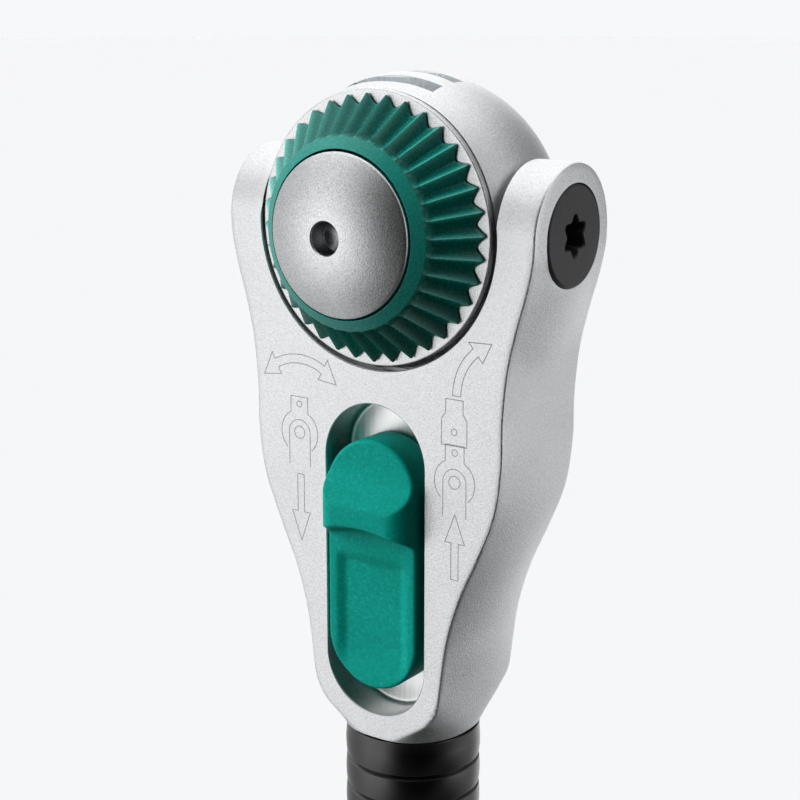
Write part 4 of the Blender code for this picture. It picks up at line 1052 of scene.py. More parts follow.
@dataclass
class Thumbwheel:
    """The reversing wheel: a smooth face ring and V-grooved bevel flank. Its hub is (radius, bore, back)."""

    teeth: int = 36
    first_ridge: float = 1.7
    columns: int = 16
    face: float = -15.2
    face_bore: float = 10.6
    face_crown: float = -16.25
    face_radius: float = 12.08
    base: float = -9.6
    base_radius: float = 17.25
    base_start: float = 12.5
    groove: float = 1.15
    hollow: float = 1.5
    facet: float = 0.14
    facet_rows: int = 9
    flank_rows: int = 25
    blunt: float = 0.24
    ridge_highlight_width: float = 0.65
    ring_tone: float = 0.12
    hub: tuple[float, float, float] = (9.6, 5.2, -4.5)
    hub_round: float = 0.3
    shelf: float = -10.0
    face_round: Span = (0.3, 0.16)
    flank_margin: Span = (0.5, 0.3)
    near: float = 0.01

    def build(self) -> list[Piece]:
        """Makes the wheel.

        Returns:
            The wheel alone.
        """
        item = edged(shaped("reverser_wheel", self._skin()), sharp=28.0)
        self._crisp_edges(item.data)
        return [Piece(item, "thumbwheel", WHEEL_GREEN, ("thumbwheel",))]

    def _skin(self) -> Sheet:
        """Lofts the wheel: bore, face ring, grooved flank, base and hub.

        On the flank a point is the straight cone's point moved inwards along the cone's normal by
        groove depth times a wave of the angle, which grows from nothing over the first facet. The wave
        is one less a power of the distance to the groove's middle. Each column stops where it meets
        the base plane, which scallops the wheel's edge, and a soft minimum with a cylinder blunts the
        tooth ends.

        Returns:
            The closed wheel.
        """
        count = self.teeth * self.columns
        column = np.arange(count)
        pitch = TAU / self.teeth
        angle = math.radians(self.first_ridge) + column * pitch / self.columns
        wave = 1 - np.abs(2 * (column % self.columns) / self.columns - 1) ** self.hollow
        slope = np.array([self.base_radius - self.face_radius, self.base - self.face])
        normal = np.array([slope[1], -slope[0]]) / np.hypot(*slope)
        depth = self.groove * wave
        reach = (slope[1] + normal[1] * depth) / slope[1]
        share = np.concatenate([np.linspace(0, self.facet, self.facet_rows),
                                np.linspace(self.facet, 1, self.flank_rows)[1:]])[:, None] * reach
        cut = depth * np.clip(share / self.facet, 0.0, 1.0)
        radius = self.face_radius + slope[0] * share - normal[0] * cut
        over = radius - self.base_radius + self.blunt
        radius = radius - 0.5 * (over + np.sqrt(over ** 2 + self.blunt ** 2 / 4))
        along = np.minimum(self.face + slope[1] * share - normal[1] * cut, self.base)
        hub, bore, back = self.hub
        inner = eased([(self.shelf, bore), (self.shelf, self.face_bore), (self.face_crown, self.face_bore),
                       (self.face, self.face_radius)], self.face_round)
        outer = eased([(self.base, self.base_start), (self.base, hub), (back, hub), (back, bore),
                       (self.shelf, bore)], self.hub_round, 4)
        before, after = (np.broadcast_to(line[:, None], (len(line), count, 2)) for line in (inner, outer))
        rows = np.concatenate([before, np.stack([along, radius], axis=2)[1:], after])
        return Sheet(turned(rows[..., 0], rows[..., 1], angle))

    def _crisp_edges(self, mesh: bpy.types.Mesh) -> None:
        """Makes the face ring's outer edge sharp and paints a highlight along each tooth ridge.

        An edge with both ends at the ring's radius and depth is sharp. The attribute "edge" on the
        flank, a painted highlight, falls as a square from one on a ridge to nothing at a set distance beside
        it.

        Args:
            mesh: The wheel's mesh, in metres.
        """
        x, y, z = (read(mesh.vertices, "co", 3) / MM - SWIVEL).T
        reach = np.hypot(x, z)
        turn = (np.arctan2(z, x) - math.radians(self.first_ridge)) * self.teeth / TAU
        aside = np.abs((turn + 0.5) % 1.0 - 0.5) * TAU / self.teeth * reach
        outward, above = self.flank_margin
        flank = (reach > self.face_radius + outward) & (y < self.base - above)
        # Painted highlight: lighter along each tooth ridge, fading to either side.
        light = np.clip(1 - aside / self.ridge_highlight_width, 0, 1) ** 2
        mesh.attributes["edge"].data.foreach_set("value", np.where(flank, light, self.ring_tone))
        rim = (np.abs(reach - self.face_radius) < self.near) & (np.abs(y - self.face) < self.near)
        pair = read(mesh.edges, "vertices", 2, int)
        sharp = read(mesh.edges, "use_edge_sharp", 1, bool)[:, 0]
        mesh.edges.foreach_set("use_edge_sharp", sharp | rim[pair].all(axis=1))


@dataclass
class PushButton:
    """The domed release button with a drilled dimple, and the spring behind it.

    The dimple's edge is broken by (across, down), and the coil has steps (in a turn, round its wire).
    """

    radius: float = 10.33
    rim: float = -16.54
    rim_edge: float = 0.28
    rim_drop: float = 0.05
    apex: float = -19.42
    back: float = -13.2
    side_round: Span = (0.2, 0.4)
    dome_rows: int = 64
    steps: int = 192
    dimple: float = 2.07
    dimple_floor: float = -16.8
    dimple_edge: Span = (0.16, 0.18)
    dimple_taper: float = 0.12
    drill_point: float = 1.2
    margin: float = 0.5
    coil_radius: float = 4.0
    coil_wire: float = 0.4
    coil_span: Span = (-12.45, -4.95)
    coil_turns: int = 4
    coil_steps: tuple[int, int] = (48, 12)

    def build(self) -> list[Piece]:
        """Makes the button and its spring.

        Returns:
            The button and the spring.
        """
        rise = self.rim - self.apex
        sphere = (self.radius ** 2 + rise ** 2) / (2 * rise)
        across, down = self.dimple_edge
        radius = np.linspace(self.dimple + across, self.radius - self.rim_edge, self.dome_rows)
        dome = self.apex + sphere - np.sqrt(sphere ** 2 - radius ** 2)
        floor, taper = self.dimple_floor, self.dimple_taper
        hole = np.array([(floor + self.drill_point, 0.0), (floor, self.dimple - taper),
                         (dome[0] + down, self.dimple), (dome[0], radius[0])])
        side = np.array([(dome[-1], radius[-1]), (self.rim + self.rim_drop, self.radius),
                         (self.back, self.radius), (self.back, 0.0)])
        profile = np.concatenate([eased(hole, taper, 4), np.stack([dome, radius], axis=1)[1:-1],
                                  eased(side, self.side_round, 6)])
        item = edged(shaped("release_button", lathe(profile, steps=self.steps)), sharp=40.0)
        aside, depth, height = middles(item.data).T
        inside = (np.hypot(aside, height) < self.dimple) & (depth < self.back - self.margin)
        item.data.polygons.foreach_set("material_index", inside.astype(np.int32))
        return [Piece(item, "button", FINE_CHROME, ("push_button",), DRILLED_STEEL), self._spring()]

    def _spring(self) -> Piece:
        """Winds the spring: wire circles in planes through Y, turning and moving along Y at an even rate.

        Returns:
            The spring, left unattached, with the drive and its two ends kept as a stretch.
        """
        start, end = self.coil_span
        per_turn, sides = self.coil_steps
        share = np.linspace(0, 1, per_turn * self.coil_turns + 1)[:, None]
        section = np.arange(sides) * TAU / sides
        reach = self.coil_radius + self.coil_wire * np.cos(section)
        along = start + (end - start) * share + self.coil_wire * np.sin(section)
        rows = turned(along, reach, share * TAU * self.coil_turns)
        item = edged(shaped("button_coil", capped(rows)), sharp=60.0)
        ends = [(SWIVEL + np.array([0.0, place, 0.0])) * MM for place in self.coil_span]
        return Piece(item, "button", TOOL_STEEL, ("button_spring",), stretch=("drive", *ends))


@dataclass
class SlideButtons:
    """The lock's two thumb slides, front and back, each with a pad, a lip and a hollow panel.

    The pad line's rows are (distance below the swivel, height over the yoke's face). The panel's
    walls are the widths of its slopes at the sides, the top and the bottom.
    """

    half_width: float = 7.1
    top: float = -27.5
    bottom: float = -61.95
    inner_face: float = -4.0
    inner_bevel: Span = (0.6, 0.5)
    pad_line: Knots = (
        (26.0, 0.55), (29.0, 0.72), (31.5, 0.88), (32.6, 1.15), (33.5, 1.6), (34.4, 2.35), (35.2, 3.2),
        (36.0, 3.78), (37.0, 3.92), (70.0, 3.92))
    crest: float = 3.9
    crest_blend: float = 0.12
    flat: float = 4.0
    corner: float = 3.1
    lip: float = -38.5
    lip_bow: float = 1.3
    lip_drop: float = 1.7
    plateau: float = 0.8
    panel_half_width: float = 5.1
    panel_top: float = -44.0
    panel_bottom: float = -58.5
    panel_depth: float = 0.6
    panel_walls: tuple[float, float, float] = (1.8, 2.0, 7.0)
    rounding: float = 0.5
    half_depth: float = 9.1
    steps: tuple[int, int] = (48, 110)
    edge_rows: int = 7
    face_rows: int = 34

    def build(self) -> list[Piece]:
        """Makes both slides.

        Returns:
            The front and the back slide.
        """
        front = self._skin()
        made = []
        for name, sheet in (("front", front), ("back", front.mirrored())):
            item = edged(shaped(f"lock_slide_{name}", sheet), sharp=50.0)
            made.append(Piece(item, "lock", SLIDE_GREEN, (f"slide_button_{name}",)))
        return made

    def height(self, x: Array, z: Array) -> Array:
        """Reads how far the slide's face stands proud of the yoke's face.

        The pad follows a smooth line along the slide, rising to a crest, and is limited by a flat
        with round corners. Below the bowed lip it falls in an S to a plateau, in which a panel with
        soft walls is sunk.

        Args:
            x: Places across the slide.
            z: Places along the slide.

        Returns:
            The height at each place.
        """
        pad = flowing(self.pad_line, -z)
        beside = np.clip(np.abs(x) - self.flat, 0.0, self.corner)
        round_top = self.crest - self.corner + np.sqrt(self.corner ** 2 - beside ** 2)
        ridge = 0.5 * (pad + round_top - np.sqrt((pad - round_top) ** 2 + self.crest_blend ** 2))
        lip = self.lip - self.lip_bow * (x / self.half_width) ** 2
        fallen = s_curve((lip - z) / self.lip_drop)
        side, head, foot = self.panel_walls
        walls = ((self.panel_half_width - np.abs(x)) / side, (self.panel_top - z) / head,
                 (z - self.panel_bottom) / foot)
        sunk = self.panel_depth * np.prod([s_curve(wall + 0.5) for wall in walls], axis=0)
        return (self.plateau - sunk) * fallen + ridge * (1 - fallen)

    def _skin(self) -> Sheet:
        """Stacks stadium loops: up the side wall, over its rounded edge and in to the middle line.

        Returns:
            The closed front slide.
        """
        turn = np.linspace(0, math.pi / 2, self.edge_rows)[::-1]
        inward = np.linspace(self.rounding, self.half_width, self.face_rows)[1:]
        shrink = np.concatenate([self.rounding * (1 - np.sin(turn)), inward])
        lower = np.concatenate([self.rounding * (1 - np.cos(turn)), np.zeros(len(inward))])
        span = (self.top, self.bottom, self.half_width, *self.steps)
        loops = stadium(self.half_width - shrink, *span)
        face = -self.half_depth - self.height(loops[..., 0], loops[..., 1]) + lower[:, None]
        across, down = self.inner_bevel
        wall = stadium([0.0, self.half_width - across, self.half_width], *span)
        back = upright(wall, [self.inner_face, self.inner_face, self.inner_face - down])
        return Sheet(np.concatenate([back, upright(loops, face)]))


@dataclass
class PivotScrews:
    """The two swivel screws with six-lobed recesses."""

    head: float = 6.5
    head_bevel: float = 0.25
    face: float = 23.95
    under: float = 21.8
    pin: float = 3.6
    end: float = 16.1
    star: float = 2.3
    star_bevel: float = 0.16
    star_foot: float = 0.9
    star_land: float = 0.5
    wave: float = 0.38
    lobes: int = 6
    recess: float = 2.4
    drill_point: float = 0.5
    rounds: tuple[float, ...] = (0.14, 0.14, 0.2, 0.2, 0.5)
    steps: int = 192

    def build(self) -> list[Piece]:
        """Makes both screws.

        Returns:
            The left and the right screw.
        """
        made = []
        for name, side in (("left", -1.0), ("right", 1.0)):
            item = edged(shaped(f"swivel_screw_{name}", self._skin(side)), 30.0, even=True)
            made.append(Piece(item, "handle", SCREW_STEEL, (f"pivot_screw_{name}",)))
        return made

    def _skin(self, side: float) -> Sheet:
        """Turns the screw from its recess out to its pin; the recess's radius waves six times round.

        Args:
            side: The sign of X at the screw.

        Returns:
            The closed screw.
        """
        face, head, star = self.face, self.head, self.star
        floor, bevel = face - self.recess, self.star_bevel
        recess = np.array([(floor - self.drill_point, 0.0), (floor, star * self.star_foot),
                           (face - bevel, star), (face, star + bevel)])
        body = eased([(face, star + self.star_land), (face, head - self.head_bevel),
                      (face - self.head_bevel, head), (self.under, head), (self.under, self.pin),
                      (self.end, self.pin), (self.end, 0.0)], self.rounds)
        profile = np.concatenate([recess, body])
        angle = np.arange(self.steps) * TAU / self.steps
        swell = np.ones((len(profile), self.steps))
        swell[:len(recess)] = 1 - self.wave / star * np.cos(self.lobes * angle)
        return lathe(profile * np.array([side, 1.0]), Axis.X, self.steps, swell)


@dataclass
class SquareDrive:
    """The output shaft: ratchet gear, round neck, square end and its locking ball.

    The gear is (radius, front, back), with flat webs inside its teeth at the front and the back. The
    neck is (radius, shoulder), and the bore and the ball's hole are (radius, end). The square starts
    at a share of its size and is full a little above the shoulder.
    """

    teeth: int = 72
    per_tooth: int = 10
    tooth: float = 0.6
    gear: tuple[float, float, float] = (10.5, -4.2, 3.0)
    gear_bevel: float = 0.35
    gear_web: Span = (8.6, 8.8)
    neck: Span = (7.4, 13.0)
    neck_shoulder: float = 1.2
    collar_round: Span = (0.5, 0.45)
    square_start: Span = (0.985, 0.02)
    half_square: float = 4.76
    corner: float = 6.35
    corner_power: float = 60.0
    end: float = 24.4
    chamfer: float = 0.7
    chamfer_rows: int = 7
    dimple: Knots = ((0.0, 1.25), (0.1, 1.1), (0.6, 0.0))
    bore: Span = (2.05, 23.3)
    drill_point: float = 0.6
    ball_radius: float = 1.75
    ball_at: Span = (18.7, 3.81)
    ball_hole: Span = (1.85, 9.0)
    ball_steps: tuple[int, int] = (33, 48)

    def build(self) -> list[Piece]:
        """Makes the shaft and its ball.

        Returns:
            The shaft and the ball.
        """
        shaft = shaped("square_drive", self._skin())
        along, up = self.ball_at
        wide, end = self.ball_hole
        rows, steps = self.ball_steps
        hole = lathe([(0.0, 0.0), (0.0, wide), (end, wide), (end, 0.0)], Axis.Z, steps)
        carved(shaft, Sheet(hole.points + np.array([0.0, along, 0.0])))
        turn = np.linspace(-math.pi / 2, math.pi / 2, rows)
        ball = lathe(self.ball_radius * around(turn)[:, ::-1], Axis.Z, steps)
        ball = shaped("drive_ball", Sheet(ball.points + np.array([0.0, along, up])))
        return [Piece(edged(shaft, 24.0, even=True), "drive", FINE_CHROME, ("drive_gear",)),
                Piece(edged(ball), "socket_ball", TOOL_STEEL, ("locking_ball",))]

    def _skin(self) -> Sheet:
        """Lofts the shaft along Y, from the bore out over the gear, neck and square.

        A row's reach at an angle is its radius, less a tooth wave on the gear, or on the square
        the soft minimum of the distances to the two pairs of faces.

        Returns:
            The closed shaft.
        """
        steps = self.teeth * self.per_tooth
        angle = np.arange(steps) * TAU / steps
        radius, front, back = self.gear
        neck, shoulder = self.neck
        bore, bore_end = self.bore
        end, bevel = self.end, self.gear_bevel
        wave = (1 - np.abs(2 * (np.arange(steps) % self.per_tooth / self.per_tooth) - 1)) * self.tooth
        sides = np.stack([self.half_square / np.maximum(np.abs(np.cos(angle)), TINY),
                          self.half_square / np.maximum(np.abs(np.sin(angle)), TINY),
                          np.full(steps, self.corner)])
        least = sides.min(axis=0)
        square = least * ((least / sides) ** self.corner_power).sum(axis=0) ** (-1 / self.corner_power)
        plain = np.array([(bore_end + self.drill_point, 0.0), (bore_end, bore), (front, bore),
                          (front, self.gear_web[0])])
        gear = np.array([(front, radius - bevel), (front + bevel, radius), (back - bevel, radius),
                         (back, radius - bevel)])
        collar = eased([(back, self.gear_web[1]), (back, neck), (shoulder, neck),
                        (shoulder, neck - self.neck_shoulder)], self.collar_round, 6)
        turn = np.linspace(0.0, math.pi / 2, self.chamfer_rows)
        heel = end - self.chamfer * (1 - np.sin(turn))
        tip = np.stack([heel, 1 - self.chamfer * (1 - np.cos(turn)) / self.half_square], axis=1)
        start, lead = self.square_start
        tip = np.concatenate([[(shoulder, start), (shoulder + lead, 1.0)], tip])
        centre = np.array([(end - depth, reach) for depth, reach in self.dimple])
        one = np.ones(steps)
        along = np.concatenate([plain, gear, collar, tip, centre])[:, :1]
        reach = np.concatenate([plain[:, 1:] * one, gear[:, 1:] - wave, collar[:, 1:] * one,
                                tip[:, 1:] * square, centre[:, 1:] * one])
        return Sheet(turned(along, reach, angle))


@dataclass
class Sleeve:
    """The spinning sleeve with slightly bulged bands between narrow grooves, in heights from the stand."""

    radius: float = 9.4
    bore: float = 7.4
    low: float = 79.8
    high: float = 109.2
    bands: int = 7
    per_band: int = 24
    groove: float = 0.45
    groove_width: float = 0.055
    bulge: float = 0.16
    foot_inset: float = 0.6
    inner_round: Span = (0.05, 0.4)
    rim: float = 110.05
    rim_bevel: float = 0.1
    rim_rows: int = 3
    recess: float = 8.75
    steps: int = 160

    def build(self) -> list[Piece]:
        """Makes the sleeve.

        Each band bulges by a parabola, and a narrow groove parts it from the next. A thin rim goes up
        round the thrust washer to the yoke's foot, in place of the top band's last rows.

        Returns:
            The sleeve alone.
        """
        share = np.linspace(0.0, 1.0, self.per_band, endpoint=False)
        swell = self.bulge * (1 - (2 * share - 1) ** 2) - self.bulge
        dip = self.groove * np.exp(-(np.minimum(share, 1 - share) / self.groove_width) ** 4)
        place = (np.arange(self.bands)[:, None] + share).ravel()
        height = self.low + place * (self.high - self.low) / self.bands
        outside = np.stack([height, self.radius + np.tile(swell - dip, self.bands)], axis=1)
        bevel = self.rim_bevel
        rim = np.array([(self.rim - bevel, self.radius - bevel), (self.rim, self.radius - 2 * bevel),
                        (self.rim, self.recess)])
        inside = eased([(self.high, self.recess), (self.high, self.bore), (self.low, self.bore),
                        (self.low, self.radius - self.foot_inset)], self.inner_round)
        profile = np.concatenate([outside[1:-self.rim_rows], rim, inside])
        profile = np.concatenate([profile, profile[:1]])
        item = edged(shaped("spin_sleeve", lathe(profile, Axis.Z, self.steps), origin=STAND), sharp=40.0)
        return [Piece(item, "sleeve", BLACK_PLASTIC, ("sleeve",))]


@dataclass
class Handle:
    """The handle: a hard collar and core, a fluted soft grip and a coloured end cap.

    Heights are from the stand, which is the flat end of the cap. The skin's and the cap line's rows
    are (height, radius). The collar's line is (height, depth), the well for the cap's spigot (top,
    bottom, radius), the flutes' span (bottom, top, fade) and a ring groove (depth, half width).
    """

    top: float = 78.7
    top_bevel: float = 0.5
    collar_low: float = 69.7
    collar_line: Span = (74.6, 0.35)
    grip_high: float = 69.4
    cap_high: float = 8.0
    skin: Knots = (
        (8.0, 13.6), (14.0, 14.3), (28.3, 14.6), (42.0, 13.2), (55.1, 11.8), (63.0, 12.2), (69.7, 13.0),
        (78.7, 10.4))
    inner: float = 5.9
    wall: float = 2.2
    gap: float = 0.3
    well: tuple[float, float, float] = (17.3, 8.4, 6.4)
    flutes: int = 8
    flute_depth: float = 0.55
    flute_power: int = 6
    flute_span: tuple[float, float, float] = (13.0, 56.5, 7.0)
    per_flute: int = 30
    rings: tuple[float, ...] = (59.4, 62.4, 65.4)
    ring_groove: Span = (0.4, 0.42)
    end_round: float = 0.6
    cap_line: Knots = (
        (17.0, 0.0), (17.0, 6.0), (8.0, 6.0), (8.0, 13.6), (0.0, 13.2), (0.0, 9.5), (0.7, 8.8), (0.9, 0.0))
    cap_corners: tuple[float, ...] = (0.5, 0.3, 0.35, 3.2, 0.6, 0.6)
    steps: int = 160
    rows: tuple[int, int] = (24, 190)
    inner_stride: int = 8

    def build(self) -> list[Piece]:
        """Makes the core with its collar, the grip and the cap.

        Returns:
            The three pieces.
        """
        core = edged(shaped("handle_core_body", self._core(), origin=STAND))
        grip = edged(shaped("handle_soft_grip", self._grip(), origin=STAND), sharp=45.0)
        cap = edged(shaped("handle_end_cap", self._cap(), origin=STAND), sharp=45.0)
        return [Piece(core, "handle", BLACK_PLASTIC, ("handle_core",)),
                Piece(grip, "handle", BLACK_RUBBER, ("handle_grip",)),
                Piece(cap, "handle", WHEEL_GREEN, ("end_cap",))]

    def _core(self) -> Sheet:
        """Turns the collar and the core under the grip, round the shank's bore.

        Returns:
            The closed core.
        """
        bevel, (line, depth) = self.top_bevel, self.collar_line
        height = np.linspace(self.collar_low + self.gap, self.top - bevel, self.rows[0])
        collar = np.stack([height, flowing(self.skin, height)], axis=1)
        collar[:, 1] -= depth * np.exp(-((height - line) / depth) ** 4)
        high, low, radius = self.well
        ends = np.array([(self.top, collar[-1, 1] - bevel), (self.top, self.inner), (high, self.inner)])
        under = np.linspace(low, self.collar_low, self.rows[0])
        core = np.stack([under, flowing(self.skin, under) - self.wall - self.gap], axis=1)
        foot, shelf = [(high, radius), (low, radius)], [(self.collar_low, collar[0, 1] - depth)]
        return lathe(np.concatenate([collar, ends, foot, core, shelf, collar[:1]]), Axis.Z, self.steps)

    def _grip(self) -> Sheet:
        """Turns the grip; flutes deepen from both ends to the middle, with ring grooves at the top.

        The flute's share of the radius is depth times a high power of a half cosine of the angle
        times a flat-topped window of the height.

        Returns:
            The closed grip.
        """
        steps = self.flutes * self.per_flute
        angle = np.arange(steps) * TAU / steps
        height = np.linspace(self.cap_high + self.gap, self.grip_high, self.rows[1])
        radius = flowing(self.skin, height)
        near_end = np.minimum(height - height[0], height[-1] - height)
        radius = radius - self.end_round * np.clip(1 - near_end / self.end_round, 0, 1) ** 2
        depth, half = self.ring_groove
        ring = np.abs(height[:, None] - np.array(self.rings))
        radius = radius - depth * np.exp(-(ring / half) ** 4).sum(axis=1)
        low, high, fade = self.flute_span
        window = s_curve(np.clip((height - low) / fade, 0, 1) * np.clip((high - height) / fade, 0, 1))
        flute = np.abs(np.cos(self.flutes * angle / 2)) ** self.flute_power
        outside = radius[:, None] - self.flute_depth * window[:, None] * flute
        back = height[::-self.inner_stride]
        inside = np.broadcast_to((flowing(self.skin, back) - self.wall)[:, None], (len(back), steps))
        along = np.concatenate([height, back, height[:1]])
        reach = np.concatenate([outside, inside, outside[:1]])
        return lathe(np.stack([along, np.ones(len(along))], axis=1), Axis.Z, steps, reach)

    def _cap(self) -> Sheet:
        """Turns the end cap with a rounded heel, a shallow dished foot and its spigot."""
        return lathe(eased(self.cap_line, self.cap_corners, 8), Axis.Z, self.steps)


@dataclass
class FrontMarks:
    """Fine etched lines on the yoke's front: turn and slide arrows beside two plain tool symbols.

    Places are (x, z). A bent arrow has its arc's centre, radius, first and last angle, and heads.
    """

    face: float = -9.1
    proud: float = 0.012
    root: float = 0.05
    width: float = 0.11
    sharpest: float = 0.25
    bent_arrows: tuple[tuple[Span, float, float, float, int], ...] = (
        ((-12.15, -26.3), 8.0, 41.0, 139.0, 2), ((20.4, -19.9), 7.66, 110.0, 180.0, 1))
    bent_size: tuple[float, float, float] = (20.0, 0.6, 1.6)
    bent_points: int = 24
    straight_arrows: tuple[tuple[Span, Span], ...] = (
        ((-12.2, -34.2), (-12.2, -43.6)), ((12.6, -44.2), (12.6, -35.4)))
    straight_line: Knots = (
        (0.0, 0.55), (0.56, 0.55), (0.56, 1.5), (1.0, 0.0), (0.56, -1.5), (0.56, -0.55), (0.0, -0.55))
    tools: Knots = ((-12.3, -28.4), (12.5, -31.2))
    tool_radii: tuple[float, float, float] = (0.85, 1.75, 3.05)
    tool_swing: Span = (-48.0, 62.0)
    tool_points: tuple[int, int, int] = (33, 25, 21)
    fork_end: float = -4.6
    stub: Span = (1.4, 4.9)
    stub_hole: float = 3.9
    sockets: Knots = ((12.4, -23.4),)
    socket_line: Knots = (
        (-1.9, -3.0), (1.9, -3.0), (1.9, 0.4), (1.3, 1.2), (1.3, 3.0), (-1.3, 3.0), (-1.3, 1.2), (-1.9, 0.4))
    socket_hole: float = -1.2
    hole: float = 0.42
    hole_points: int = 25

    def build(self) -> list[Piece]:
        """Makes all the lines as one piece.

        Returns:
            The marks alone.
        """
        lines = [self._bent_arrow(*arrow) for arrow in self.bent_arrows]
        lines += [self._straight_arrow(*ends) for ends in self.straight_arrows]
        lines += [line for centre in self.tools for line in self._tool(centre)]
        lines += [line for centre in self.sockets for line in self._socket(centre)]
        item = edged(shaped("front_marks", *(self._ribbon(*line) for line in lines)))
        return [Piece(item, "handle", ETCHED)]

    def _ribbon(self, path: Array, closed: bool) -> Sheet:
        """Carries a flat rectangle along a path on the front face.

        Each path point gets two sides, offset along the mean normal of its two edges and
        lengthened at bends so that the ribbon keeps its width.

        Args:
            path: Rows of (x, z).
            closed: Whether the path's end joins its start.

        Returns:
            The closed ribbon.
        """
        way = np.diff(path, axis=0, append=path[:1])
        if not closed:
            way[-1] = way[-2]
        way /= np.linalg.norm(way, axis=1, keepdims=True)
        before = np.roll(way, 1, axis=0)
        if not closed:
            before[0] = way[0]
        normal = np.stack([-way[:, 1] - before[:, 1], way[:, 0] + before[:, 0]], axis=1)
        normal /= np.maximum((normal ** 2).sum(axis=1, keepdims=True) / 2, self.sharpest)
        side = normal * self.width / 2
        near, deep = self.face - self.proud, self.face + self.root
        corner = [(path + side, near), (path - side, near), (path - side, deep), (path + side, deep)]
        rows = np.stack([np.insert(place, 1, depth, axis=1) for place, depth in corner], axis=1)
        return Sheet(np.concatenate([rows, rows[:1]])) if closed else capped(rows)

    def _straight_arrow(self, tail: Span, tip: Span) -> Outline:
        """Draws an outlined arrow.

        Args:
            tail: Where it starts.
            tip: Where it points.

        Returns:
            The outline, and that it is closed.
        """
        start, end = np.array(tail), np.array(tip)
        length = np.linalg.norm(end - start)
        way = (end - start) / length
        across = np.array([-way[1], way[0]])
        shape = np.array(self.straight_line)
        return start + shape[:, :1] * length * way + shape[:, 1:] * across, True

    def _bent_arrow(self, centre: Span, radius: float, first: float, last: float, heads: int) -> Outline:
        """Draws an outlined arrow along an arc, with a head at its start or at both ends.

        Args:
            centre: The arc's centre.
            radius: The arc's radius.
            first: The angle of the first head's tip, in degrees.
            last: The angle of the other end.
            heads: One or two heads.

        Returns:
            The outline, and that it is closed.
        """
        head, half, wing = self.bent_size
        end = last - head if heads == 2 else last
        turn = np.linspace(first + head, end, self.bent_points)
        outer = np.stack([turn, np.full_like(turn, radius + half)], axis=1)
        inner = np.stack([turn[::-1], np.full_like(turn, radius - half)], axis=1)
        tip = np.array([(first + head, radius - wing), (first, radius), (first + head, radius + wing)])
        far = np.array([(end, radius + wing), (last, radius), (end, radius - wing)])
        polar = np.concatenate([tip, outer, far, inner] if heads == 2 else [tip, outer, inner])
        return np.array(centre) + around(np.radians(polar[:, 0])) * polar[:, 1:], True

    def _tool(self, centre: Span) -> list[Outline]:
        """Draws a plain swivel-tool symbol: a pivot ring, a head arc each side, a fork and a stub.

        Args:
            centre: The pivot's place.

        Returns:
            The lines, and whether each is closed.
        """
        middle, flip = np.array(centre), np.array([-1, 1])
        pivot, half, head = self.tool_radii
        on_ring, on_fork, on_head = self.tool_points
        ring = around(np.linspace(0, TAU, on_ring)[:-1])
        leg = np.array([(half, self.fork_end)])
        fork = np.concatenate([leg, around(np.linspace(0, math.pi, on_fork)) * half, leg * flip])
        right = around(np.radians(np.linspace(*self.tool_swing, on_head))) * head
        stub = np.array([right[-1], self.stub, self.stub * flip, right[-1] * flip])
        return [(middle + ring * pivot, True), (middle + fork, False), (middle + right, False),
                (middle + right * flip, False), (middle + stub, False),
                (middle + ring * self.hole + [0, self.stub_hole], True)]

    def _socket(self, centre: Span) -> list[Outline]:
        """Draws a plain socket symbol: a stepped outline with a small hole.

        Args:
            centre: The symbol's middle.

        Returns:
            The lines, and whether each is closed.
        """
        middle = np.array(centre)
        hole = around(np.linspace(0, TAU, self.hole_points)[:-1]) * self.hole + [0, self.socket_hole]
        return [(middle + np.array(self.socket_line), True), (middle + hole, True)]


@dataclass
class InnerParts:
    """The CAD nodes that stay as they are and only get a finish."""

    finishes: dict[Finish, tuple[str, ...]] = field(default_factory=lambda: {
        BRONZE: ("pivot_bush_left", "pivot_bush_right", "sleeve_bush_top", "sleeve_bush_bottom"),
        DARK_STEEL: ("cover_screw_1", "cover_screw_2", "cover_screw_3", "thumbwheel_clip",
                     "sleeve_washer_top", "sleeve_washer_bottom"),
        TOOL_STEEL: ("handle_pin", "pawl_pin", "release_pin", "pawl_plunger", "pawl_spring", "pawl",
                     "lock_bolt", "slide_pin_upper", "slide_pin_lower", "click_ball_left",
                     "click_ball_right", "click_spring")})

    def dress(self, nodes: dict[str, bpy.types.Object]) -> None:
        """Gives each node its material.

        Args:
            nodes: The frame's CAD nodes by name.
        """
        for finish, names in self.finishes.items():
            for name in names:
                slots = nodes[name].data.materials
                slots.clear()
                slots.append(finish.material())
                LOG.info("%s: %s", name, finish.name)


@dataclass(frozen=True)
class Lobe:
    """A soft change of the sky's level with the angle to a direction, which has a length of about one.

    The level goes from its first to its second value between two cosines of that angle.
    """

    towards: Direction
    reach: Span
    level: Span


